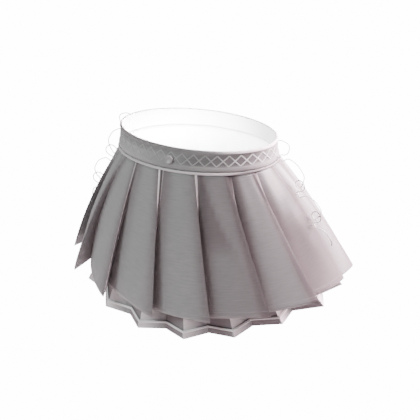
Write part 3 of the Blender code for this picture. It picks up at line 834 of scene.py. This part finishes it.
def thicken(ob, thickness):
    solid = ob.modifiers.new("Wall", "SOLIDIFY")
    solid.thickness = thickness
    solid.offset = 0.0
    solid.vertex_group = "Wall"
    solid.thickness_vertex_group = 0.0
    solid.use_even_offset = False


def crease(k, t, share):
    """How far the creases of a panel lift it here."""
    lift = 0.0
    for pleat, share0, t0, share1, t1, width, height in CREASES:
        if pleat == k and share0 <= share <= share1:
            part = (share - share0) / (share1 - share0)
            near = (t - lerp(t0, t1, part)) / width
            lift += height * math.exp(-near * near) * math.sin(math.pi * (0.15 + 0.85 * part))
    return lift * min(1.0, 14.0 * t, 14.0 * (1.0 - t))


def face_painted_light(k, t, share):
    """Painted light on the face of pleat k: painted shade towards each fold, 0 plain and 1 at a fold."""
    strength, left, even_top, even_foot, pale, edge = PANEL_TONES.get(k, PLAIN_PANEL)
    tone = 0.0
    # Painted shade towards each fold
    if t < LEFT_SHADE[-1][0]:
        tone = max(tone, smooth_table(LEFT_SHADE, t))
    elif t > RIGHT_SHADE[0][0]:
        tone = max(tone, smooth_table(RIGHT_SHADE, t))
    # An even painted shade over the whole panel
    even = lerp(even_top, even_foot, rise(share, 0.15, 0.6))
    tone = max(tone, lerp(tone, 1.0, even)) * strength
    if t < 0.5:
        tone *= lerp(left, 1.0, rise(share, 0.05, 0.4))
    # A painted highlight in the middle of the panel near the waist
    tone -= pale * math.sin(math.pi * t) * (1.0 - rise(share, 0.1, 0.55))
    # A painted shadow slanting down across one panel
    if k == SLANT_PLEAT:
        inside = lerp(SLANT_FROM, SLANT_TO, share / SLANT_END) - t
        fading = 1.0 - rise(share, 0.4, SLANT_END)
        tone += SLANT_TONE * rise(inside, -0.03, 0.09) * rise(t, 0.0, 0.1) * fading
    # A darker painted shade along the right edge
    return lerp(tone, EDGE_TONE, edge * rise(t, 0.84, 0.97))


def outer_ring(share):
    """One closed row of the outer skirt, and the painted light on the cloth at each point."""
    row = []
    painted_light = []
    for k in range(len(OUTER_PLEATS)):
        phase = PHASE_STEP * k
        for t in FACE_SHARES:
            point = pleat_face(k, t, smooth_table(FACE_SECTION, t), share)
            middle = math.sin(math.pi * t)
            gather = GATHER_HEIGHT * middle * math.sin(7.0 * t + phase) * (1.0 - share) ** 2
            drape = DRAPE_HEIGHT * middle * math.sin(2.6 * share * math.pi + phase + 3.0 * t) * share
            out = (point - Vector((0.0, DRAPE_CENTRE_Y, point.z))).normalized()
            row.append(point + out * (gather + drape + crease(k, t, share)))
            painted_light.append(face_painted_light(k, t, share))
        proud = proud_fold(k, share)[0]
        tucked = tucked_fold(k, share)
        # Painted light inside the tuck: painted shade in its depth and a painted highlight where it shows
        near, middle, far, end = TUCK_TONES[k]
        turn = min(1.0, max(0.0, 3.0 * share / end - 2.0)) if end < 1.0 else share
        for t in TUCK_SHARES:
            row.append(lerp(proud, tucked, t))
            side = near if t < 0.3 else (middle if t < 0.8 else far)
            painted_light.append(lerp(side[0], side[1], turn))
    return row, painted_light


def under_ring(share=None, height=None):
    """One closed row of the under-skirt, at a share of its height or a height above its hem."""
    row = []
    painted_light = []
    for k in range(len(UNDER_FOLDS)):
        corners = []
        for fold, inner in ((k + 1, False), (k, True), (k, False)):
            here = share if share is not None else under_share(fold, inner, height)
            corners.insert(0, under_fold(fold, inner, here))
        for one, two, (start, end) in zip(corners, corners[1:], UNDER_TONES):
            chord = two - one
            normal = Vector((chord.y, -chord.x, 0.0)).normalized()
            sag = UNDER_SAG * (1.0 - here)
            for t in UNDER_SHARES:
                row.append(one + chord * t + normal * sag * 4.0 * t * (1.0 - t))
                # Painted light on the facets, coming in from halfway down towards the hem
                painted_light.append(lerp(start, end, t) * rise(here, 0.45, 0.9))
    return row, painted_light


def cut(row, first, count):
    """Part of a closed row, from a column on."""
    return [row[(first + i) % len(row)] for i in range(count + 1)]


def halves(rings, walls, first):
    """The front and back of closed rows, cut at the left seam's column and at the opposite one."""
    count = len(walls) // 2
    for side, start in (("front", first), ("back", first + count)):
        points = [cut(row, start, count) for row, _ in rings]
        painted_light = [cut(tones, start, count) for _, tones in rings]
        yield side, points, painted_light, cut(walls, start, count)


def hang_layer(layer, rings, walls, first, sharp_angle):
    """The front and back of one skirt layer, hung from the waistband."""
    for side, points, painted_light, half_walls in halves(rings, walls, first):
        ob = cloth_grid("%s_cloth_%s" % (layer, side), points, painted_light, half_walls)
        face_out(ob)
        thicken(ob, bpy.context.scene.skirt.wall)
        dress(ob, skirt_cloth(), ["%s_skirt_%s" % (layer, side)], sharp_angle)


def closed_trim(name, section, tone):
    """A closed section of (height, distance out) run round the waist, and its length round it."""
    angles, _ = even_angles(BAND_COLUMNS)
    rows = [[waist_point(a, z, out)[0] for a in angles] for z, out in section]
    painted_light = [[tone(a, z, out) for a in angles] for z, out in section]
    ob = cloth_grid(name, rows, painted_light, close_around=True, close_section=True)
    return ob, running_lengths(rows[0])[-1]


def band_painted_light(angle, z, out):
    """Painted light on the waistband: a painted highlight on the lip at the right, painted shade on the lip
    elsewhere, under the lip and in the recess, a faint painted highlight low down at the left and the
    right, and painted shade inside at the right and back.
    """
    turned = angle if angle <= 180.0 else angle - 360.0
    if out < BAND_INSIDE_OUT:
        return 1.5 * between(turned, 50.0, 100.0, 135.0, 175.0)
    right = between(turned, 12.0, 55.0, 110.0, 160.0)
    left = 0.15 * (1.0 - rise(turned, -40.0, 0.0))
    if z > LIP_FOOT_Z:
        return 0.7 - 1.7 * right
    if z > RECESS_TOP_Z:
        return 0.55 + 0.5 * right * (1.0 - rise(turned, 70.0, 100.0))
    if z > RECESS_FOOT_Z:
        shade = 1.15 * between(turned, -2.0, 18.0, 110.0, 160.0)
        return shade * (1.0 - 0.45 * rise(turned, 50.0, 72.0)) - left
    return -0.05 * right - left


def piping_painted_shade(angle, z, out):
    """Painted shade on the piping: at the right, and a little more below."""
    low = 0.5 - 0.5 * (z - PIPING_Z) / PIPING_HALF_HEIGHT
    return between(angle, 36.0, 62.0, 98.0, 112.0) * (0.8 + 0.2 * low)


class SkirtSettings(bpy.types.PropertyGroup):
    cloth_middle: bpy.props.FloatVectorProperty(
        name="Cloth", description="Colour of the cloth in the middle of a pleat",
        default=(0.235, 0.24, 0.24), subtype="COLOR", size=3, min=0.0, max=1.0)
    # Colour of the painted shade towards a fold
    cloth_fold_shade: bpy.props.FloatVectorProperty(
        name="Cloth at folds", description="Colour of the cloth towards a fold",
        default=(0.148, 0.130, 0.135), subtype="COLOR", size=3, min=0.0, max=1.0)
    band_cloth: bpy.props.FloatVectorProperty(
        name="Waistband", description="Colour of the waistband cloth",
        default=(0.242, 0.235, 0.237), subtype="COLOR", size=3, min=0.0, max=1.0)
    trim: bpy.props.FloatVectorProperty(
        name="Lattice trim", description="Colour of the crossed braid round the waistband",
        default=(0.245, 0.255, 0.25), subtype="COLOR", size=3, min=0.0, max=1.0)
    piping: bpy.props.FloatVectorProperty(
        name="Piping", description="Colour of the piping under the waistband",
        default=(0.44, 0.415, 0.425), subtype="COLOR", size=3, min=0.0, max=1.0)
    cord: bpy.props.FloatVectorProperty(
        name="Hip cord", description="Colour of the cord at each hip",
        default=(0.78, 0.80, 0.79), subtype="COLOR", size=3, min=0.0, max=1.0)
    wall: bpy.props.FloatProperty(
        name="Cloth thickness", description="Thickness of the skirt cloth",
        default=0.0007, min=0.0003, max=0.0013, precision=4, unit="LENGTH")
    stitch: bpy.props.FloatProperty(
        name="Stitch length", description="Length of one sewn stitch",
        default=0.0024, min=0.001, max=0.006, precision=4, unit="LENGTH")
    key_power: bpy.props.FloatProperty(
        name="Key light", description="Power of the large light at the right",
        default=790.0, min=0.0, max=3000.0, unit="POWER")
    fill_power: bpy.props.FloatProperty(
        name="Fill light", description="Power of the soft light at the front",
        default=88.0, min=0.0, max=500.0, unit="POWER")


class SKIRT_OT_outer_skirt(bpy.types.Operator):
    """Make the outer skirt's front and back, each half of sixteen knife pleats"""
    bl_idname = "skirt.outer_skirt"
    bl_label = "Outer Skirt"

    def execute(self, context):
        rings = [outer_ring(j / OUTER_STEPS) for j in range(OUTER_STEPS + 1)]
        walls = (FACE_WALLS + TUCK_WALLS) * len(OUTER_PLEATS)
        seam = LEFT_SEAM_PLEAT * PLEAT_COLUMNS + len(FACE_SHARES) + TUCK_SHARES.index(0.5)
        hang_layer("outer", rings, walls, seam, OUTER_SHARP_ANGLE)
        return {"FINISHED"}


class SKIRT_OT_under_skirt(bpy.types.Operator):
    """Make the under-skirt's front and back, folded to and fro like a fan"""
    bl_idname = "skirt.under_skirt"
    bl_label = "Under-Skirt"

    def execute(self, context):
        rings = [under_ring(share=j / UNDER_STEPS) for j in range(UNDER_STEPS + 1)]
        top, tones = rings[0]
        rings[0] = ([p + n * UNDER_TOP_OUT for p, n in zip(top, plan_normals(top))], tones)
        hang_layer("under", rings, UNDER_WALLS * 2 * len(UNDER_FOLDS), UNDER_SEAM, UNDER_SHARP_ANGLE)
        return {"FINISHED"}


class SKIRT_OT_hem_band(bpy.types.Operator):
    """Make the raised band round the under-skirt's hem"""
    bl_idname = "skirt.hem_band"
    bl_label = "Hem Band"

    def execute(self, context):
        top, painted_light = under_ring(height=HEM_BAND_HEIGHT)
        hem, _ = under_ring(share=1.0)
        rings = []
        for i, (drop, out) in enumerate(HEM_BAND_SECTION + HEM_BAND_SECTION[:1]):
            row = [lerp(a, b, drop) for a, b in zip(top, hem)]
            # A painted highlight on those rows; the other rows carry the under-skirt's painted light
            tones = [-1.0] * len(row) if i in HEM_BAND_HIGHLIGHT_ROWS else painted_light
            rings.append(([p + n * out for p, n in zip(row, plan_normals(row))], tones))
        for side, points, tones, _ in halves(rings, [1.0] * len(top), UNDER_SEAM):
            ob = cloth_grid("hem_cloth_" + side, points, tones, close_section=True)
            dress(ob, skirt_cloth(), ["hem_band_" + side], UNDER_SHARP_ANGLE)
            running_lengths(points[0])[-1]
            "under_cloth_" + side
        return {"FINISHED"}


class SKIRT_OT_waistband(bpy.types.Operator):
    """Make the waistband with its rolled lip and rounded foot"""
    bl_idname = "skirt.waistband"
    bl_label = "Waistband"

    def execute(self, context):
        band = context.scene.skirt.band_cloth
        ob, _ = closed_trim("waistband_cloth", BAND_SECTION + BAND_SECTION[:1], band_painted_light)
        # The band's painted shade is 0.6 of its colour
        cloth = woven_material("Waistband cloth", band, tinted(band, 0.6)[:3], BAND_SLUBS, 0.35)
        dress(ob, cloth, ["waistband"])
        _, length = even_angles(BAND_COLUMNS)
        return {"FINISHED"}


class SKIRT_OT_lattice(bpy.types.Operator):
    """Make the crossed braid that lies in the waistband's recess"""
    bl_idname = "skirt.lattice"
    bl_label = "Lattice Trim"

    def execute(self, context):
        centres, _ = even_angles(2 * LATTICE_CELLS)
        rows = len(LATTICE_SECTION) - 1
        bm = bmesh.new()
        for k in range(LATTICE_CELLS):
            low, high = centres[2 * k], centres[2 * k + 2]
            slope = (LATTICE_TOP_Z - LATTICE_FOOT_Z) / (high - low)
            for rising, lift in ((False, LATTICE_OVER), (True, 1.0)):
                grid = bmesh.ops.create_grid(bm, x_segments=LATTICE_STEPS, y_segments=rows, size=1.0)
                for vert in grid["verts"]:
                    t = (vert.co.x + 1.0) / 2.0
                    side, height = LATTICE_SECTION[round((vert.co.y + 1.0) / 2.0 * rows)]
                    angle = lerp(low, high, t)
                    z = lerp(LATTICE_TOP_Z, LATTICE_FOOT_Z, 1.0 - t if rising else t)
                    over = LATTICE_HEIGHT * height * lift
                    here, normal = waist_point(angle, z, over)
                    ahead, _ = waist_point(angle + 0.2, z + (0.2 if rising else -0.2) * slope, over)
                    sideways = (ahead - here).normalized().cross(normal)
                    vert.co = here + sideways * (side * LATTICE_HALF_WIDTH)
        bmesh.ops.recalc_face_normals(bm, faces=bm.faces[:])
        for face in bm.faces:
            centre = face.calc_center_median()
            if face.normal.x * centre.x + face.normal.y * centre.y < -0.3 * centre.length:
                face.normal_flip()
        ob = new_object("band_lattice", bm)
        trim = context.scene.skirt.trim
        braid = Shader("Lattice braid", Roughness=0.42, Sheen_Weight=0.3, Specular_IOR_Level=0.55)
        x, y, z = braid.parts(braid.object_place())
        ply = ((x + y * 0.7) * 5200.0 + z * 7400.0).sine()
        grain, colour = braid.grain(900.0, tinted(trim, 0.92), tinted(trim))
        # Painted highlight: the braid is twice as light on the skirt's right side
        colour = braid.mix(x.limit(0.055, 0.125), colour, tinted(trim, 2.0))
        braid.finish(colour, None, braid.bump(ply * 0.4 + grain, 0.4, 0.0002))
        dress(ob, braid.material)
        return {"FINISHED"}


class SKIRT_OT_piping(bpy.types.Operator):
    """Make the covered piping between the waistband and the skirt"""
    bl_idname = "skirt.piping"
    bl_label = "Piping"

    def execute(self, context):
        section = []
        for i in range(PIPING_SIDES + 1):
            u = 2.0 * math.pi * i / PIPING_SIDES
            section.append((PIPING_Z + PIPING_HALF_HEIGHT * math.sin(u),
                            PIPING_OUT + PIPING_HALF_THICKNESS * math.cos(u)))
        ob, length = closed_trim("waist_piping_cloth", section, piping_painted_shade)
        piping = context.scene.skirt.piping
        satin = Shader("Piping satin", Roughness=0.38, Sheen_Weight=0.2, Specular_IOR_Level=0.5)
        across, down, _ = satin.parts(satin.cloth_place())
        twill = ((across + down) * 4200.0).sine()
        slubs = satin.noise(satin.vector(across * 300.0, down * 300.0), 1.0, 2.0)
        colour = satin.mix(slubs, tinted(piping, 0.94), tinted(piping))
        # Painted shade on the piping, from the fold attribute
        colour = satin.mix(satin.attribute("fold"), colour, tinted(piping, 0.12))
        satin.finish(colour, None, satin.bump(twill * 0.3 + slubs, 0.25, 0.0002))
        dress(ob, satin.material, ["waist_piping"])
        return {"FINISHED"}


class SKIRT_OT_button(bpy.types.Operator):
    """Make the dished button at the centre front"""
    bl_idname = "skirt.button"
    bl_label = "Front Button"

    def execute(self, context):
        bm = bmesh.new()
        verts = [bm.verts.new((r * BUTTON_RADIUS, -h * BUTTON_THICKNESS, 0.0)) for r, h in BUTTON_SECTION]
        edges = [bm.edges.new(pair) for pair in zip(verts, verts[1:])]
        bmesh.ops.spin(bm, geom=verts + edges, cent=(0.0, 0.0, 0.0), axis=(0.0, 1.0, 0.0),
                       angle=2.0 * math.pi, steps=BUTTON_SIDES, use_merge=True)
        bmesh.ops.remove_doubles(bm, verts=bm.verts[:], dist=0.000002)
        bmesh.ops.recalc_face_normals(bm, faces=bm.faces[:])
        angle = math.degrees(math.asin(BUTTON_X / WAIST_HALF_WIDTH))
        seat, _ = waist_point(angle, BUTTON_Z, BUTTON_SEAT_OUT)
        lean = math.atan2(SEAM_HALF_DEPTH - WAIST_HALF_DEPTH, -SEAM_Z)
        turn = Matrix.Translation(seat) @ Matrix.Rotation(-lean, 4, "X")
        bmesh.ops.transform(bm, matrix=turn, verts=bm.verts[:])
        ob = new_object("front_button_cap", bm)
        pearl = Shader("Button pearl", Roughness=0.32, Coat_Weight=0.3, Coat_Roughness=0.25)
        cloud, colour = pearl.grain(160.0, (0.235, 0.228, 0.23, 1.0), (0.29, 0.28, 0.282, 1.0), 3.0)
        pearl.finish(colour, 0.28 + cloud * 0.12, pearl.bump(cloud, 0.1, 0.0002))
        dress(ob, pearl.material, ["front_button"], BUTTON_SHARP_ANGLE)
        return {"FINISHED"}


class SKIRT_OT_hip_cords(bpy.types.Operator):
    """Lay the limp cord of each hip along its route through the three eyes"""
    bl_idname = "skirt.hip_cords"
    bl_label = "Hip Cords"

    def execute(self, context):
        cord = context.scene.skirt.cord
        thread = Shader("Cord thread", Roughness=0.45, Sheen_Weight=0.3, Specular_IOR_Level=0.5)
        x, y, z = thread.parts(thread.object_place())
        strands = ((x + y + z) * 5200.0).sine()
        grain, colour = thread.grain(700.0, tinted(cord, 0.93), tinted(cord))
        # Painted shade on the cord, nearly black where its tone is 1
        colour = thread.mix(thread.attribute("fold"), colour, (0.05, 0.052, 0.05, 1.0))
        thread.finish(colour, None, thread.bump(strands * 0.5 + grain, 0.4, 0.00015))
        for name, eyes, side in (("hip_cord_right", RIGHT_EYES, 1.0), ("hip_cord_left", LEFT_EYES, -1.0)):
            route = cord_route(eyes, side)
            ob = cord_tube(name + "_thread", route, cord_painted_shade(route, eyes, side))
            dress(ob, thread.material, [name])
            length = running_lengths(route)[-1]
        return {"FINISHED"}


class SKIRT_OT_eyes(bpy.types.Operator):
    """Finish the small wire eyes that the hip cords run through"""
    bl_idname = "skirt.eyes"
    bl_label = "Cord Eyes"

    def execute(self, context):
        wire = Shader("Eye wire", Roughness=0.35, Metallic=0.6)
        scuff, colour = wire.grain(1400.0, (0.66, 0.66, 0.67, 1.0), (0.84, 0.84, 0.84, 1.0))
        wire.finish(colour, 0.28 + scuff * 0.2, wire.bump(scuff, 0.1, 0.0001))
        for side in ("right", "left"):
            for i in (1, 2, 3):
                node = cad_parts["cord_eye_%s_%d" % (side, i)]
                node.data.materials.clear()
                node.data.materials.append(wire.material)
        return {"FINISHED"}


def stitch_rows(name, rows, material):
    """Sewn stitches, each a small capsule, along rows of (point, outward direction)."""
    length = bpy.context.scene.skirt.stitch
    step = length * (1.0 + STITCH_GAP_SHARE)
    size = Matrix.Diagonal((length * 0.5, STITCH_RADIUS * 1.3, STITCH_RADIUS, 1.0))
    bm = bmesh.new()
    for row in rows:
        walked = 0.0
        goal = step
        for (one, out), (two, _) in zip(row, row[1:]):
            span = (two - one).length
            while walked + span >= goal:
                point = lerp(one, two, (goal - walked) / span)
                along = (two - one).normalized()
                up = (out - along * out.dot(along)).normalized()
                turn = Matrix((along, up.cross(along), up)).transposed().to_4x4()
                bmesh.ops.create_icosphere(bm, subdivisions=1, radius=1.0,
                                           matrix=Matrix.Translation(point) @ turn @ size)
                goal += step
            walked += span
    return dress(new_object(name, bm), material)


class SKIRT_OT_sewing(bpy.types.Operator):
    """Sew the hem of the outer skirt and the edges of the waistband"""
    bl_idname = "skirt.sewing"
    bl_label = "Sewing"

    def execute(self, context):
        thread = Shader("Sewing thread", Roughness=0.55, Sheen_Weight=0.3)
        grain, colour = thread.grain(2400.0, (0.21, 0.205, 0.205, 1.0), (0.25, 0.245, 0.245, 1.0), 1.0)
        thread.finish(colour, None, thread.bump(grain, 0.3, 0.0001))
        surface = context.scene.skirt.wall / 2.0
        row, _ = outer_ring(HEM_STITCH_SHARE)
        places = [(point + normal * surface, normal) for point, normal in zip(row, plan_normals(row))]
        hem_rows = []
        for k in range(len(OUTER_PLEATS)):
            first = k * PLEAT_COLUMNS
            hem_rows.append(places[first + 1:first + len(FACE_SHARES) - 1])
        stitch_rows("outer_hem_stitches", hem_rows, thread.material)
        angles, _ = even_angles(BAND_COLUMNS)
        band_rows = [[waist_point(a, z, out) for a in angles] for z, out in BAND_STITCH_ROWS]
        stitch_rows("waistband_stitches", band_rows, thread.material)
        return {"FINISHED"}


def aimed(name, data, place, target):
    ob = linked(name, data)
    ob.location = place
    ob.rotation_mode = "QUATERNION"
    ob.rotation_quaternion = (target - place).to_track_quat("-Z", "Y")
    return ob


def area_light(name, place, target, size, power, colour):
    light = bpy.data.lights.new(name, "AREA")
    light.shape = "DISK"
    light.size = size
    light.energy = power
    light.color = colour
    aimed(name, light, place, target).visible_camera = False


def glow_to_camera(tree, lit, glow, output):
    """Joins a white glow for the camera and a plain surface or sky for all other rays."""
    glow.inputs["Strength"].default_value = WHITE_GLOW
    path = tree.nodes.new("ShaderNodeLightPath")
    mix = tree.nodes.new("ShaderNodeMixShader")
    tree.links.new(path.outputs["Is Camera Ray"], mix.inputs[0])
    tree.links.new(lit.outputs[0], mix.inputs[1])
    tree.links.new(glow.outputs[0], mix.inputs[2])
    tree.links.new(mix.outputs[0], output.inputs[0])


class SKIRT_OT_stage(bpy.types.Operator):
    """Set the camera, the soft studio lights and the pale floor"""
    bl_idname = "skirt.stage"
    bl_label = "Stage"

    def execute(self, context):
        scene = context.scene
        a, e = math.radians(CAMERA_AZIMUTH), math.radians(CAMERA_ELEVATION)
        back = Vector((math.sin(a) * math.cos(e), -math.cos(a) * math.cos(e), math.sin(e)))
        camera = bpy.data.cameras.new("Camera")
        camera.lens = CAMERA_LENS
        camera.sensor_width = 36.0
        camera.sensor_fit = "AUTO"
        camera.clip_end = 50.0
        target = Vector(CAMERA_TARGET)
        scene.camera = aimed("Camera", camera, target + back * CAMERA_DISTANCE, target)

        settings = scene.skirt
        right = Vector((math.cos(a), math.sin(a), 0.0))
        away = Vector((-math.sin(a), math.cos(a), 0.0))
        up = Vector((0.0, 0.0, 1.0))
        pink = (1.0, 0.74, 0.80)
        cool = (0.92, 1.0, 0.985)
        light_pink = (1.0, 0.80, 0.85)
        for name, (x, y, z), target, size, power, colour in (
                ("Key", (2.1, 1.05, 0.8), MIDDLE, 1.2, settings.key_power, pink),
                ("Fill", (-2.1, -1.2, 1.9), MIDDLE, 1.6, settings.fill_power, cool),
                ("Top", (0.5, -0.3, 2.2), MIDDLE, 1.6, TOP_POWER, (1.0, 1.0, 1.0)),
                ("High right", (0.58, -0.05, 0.62), RIGHT_HIP, 0.3, HIGH_RIGHT_POWER, light_pink)):
            area_light(name, MIDDLE + right * x + away * y + up * z, target, size, power, colour)
        inside = linked("Inside", bpy.data.lights.new("Inside", "POINT"))
        inside.data.energy = INSIDE_POWER
        inside.data.shadow_soft_size = 0.03
        inside.location = INSIDE_PLACE
        inside.visible_camera = False

        world = bpy.data.worlds.new("Studio")
        scene.world = world
        world.use_nodes = True
        tree = world.node_tree
        tree.nodes.clear()
        sky, white = [tree.nodes.new("ShaderNodeBackground") for _ in range(2)]
        for background in (sky, white):
            background.inputs["Color"].default_value = (1.0, 1.0, 1.0, 1.0)
        sky.inputs["Strength"].default_value = AMBIENT
        glow_to_camera(tree, sky, white, tree.nodes.new("ShaderNodeOutputWorld"))

        bm = bmesh.new()
        bmesh.ops.create_grid(bm, x_segments=1, y_segments=1, size=FLOOR_SIZE,
                              matrix=Matrix.Translation((0.0, 0.0, FLOOR_Z)))
        floor = new_object("floor", bm)
        pale = bpy.data.materials.new("Pale floor")
        pale.use_nodes = True
        tree = pale.node_tree
        surface = tree.nodes["Principled BSDF"]
        surface.inputs["Base Color"].default_value = (0.5, 0.5, 0.5, 1.0)
        surface.inputs["Roughness"].default_value = 0.9
        glow = tree.nodes.new("ShaderNodeEmission")
        glow_to_camera(tree, surface, glow, tree.nodes["Material Output"])
        floor.data.materials.append(pale)
        return {"FINISHED"}


OPERATORS = (
    SKIRT_OT_stage,
    SKIRT_OT_hip_cords,
    SKIRT_OT_waistband,
    SKIRT_OT_lattice,
    SKIRT_OT_piping,
    SKIRT_OT_button,
    SKIRT_OT_under_skirt,
    SKIRT_OT_hem_band,
    SKIRT_OT_outer_skirt,
    SKIRT_OT_eyes,
    SKIRT_OT_sewing,
)


class SKIRT_PT_pieces(bpy.types.Panel):
    bl_idname = "SKIRT_PT_pieces"
    bl_label = "Pleated Mini Skirt"
    bl_space_type = "VIEW_3D"
    bl_region_type = "UI"
    bl_category = "Skirt"

    def draw(self, context):
        column = self.layout.column()
        for name in SkirtSettings.__annotations__:
            column.prop(context.scene.skirt, name)
        for operator in OPERATORS:
            column.operator(operator.bl_idname)


CLASSES = (SkirtSettings,) + OPERATORS + (SKIRT_PT_pieces,)


def register():
    for cls in CLASSES:
        bpy.utils.register_class(cls)
    bpy.types.Scene.skirt = bpy.props.PointerProperty(type=SkirtSettings)


def unregister():
    del bpy.types.Scene.skirt
    for cls in reversed(CLASSES):
        bpy.utils.unregister_class(cls)


def main():
    register()
    bpy.ops.skirt.stage()
    bpy.ops.skirt.hip_cords()
    bpy.ops.skirt.waistband()
    bpy.ops.skirt.lattice()
    bpy.ops.skirt.piping()
    bpy.ops.skirt.button()
    bpy.ops.skirt.under_skirt()
    bpy.ops.skirt.hem_band()
    bpy.ops.skirt.outer_skirt()
    bpy.ops.skirt.eyes()
    bpy.ops.skirt.sewing()


if __name__ == "__main__":
    main()
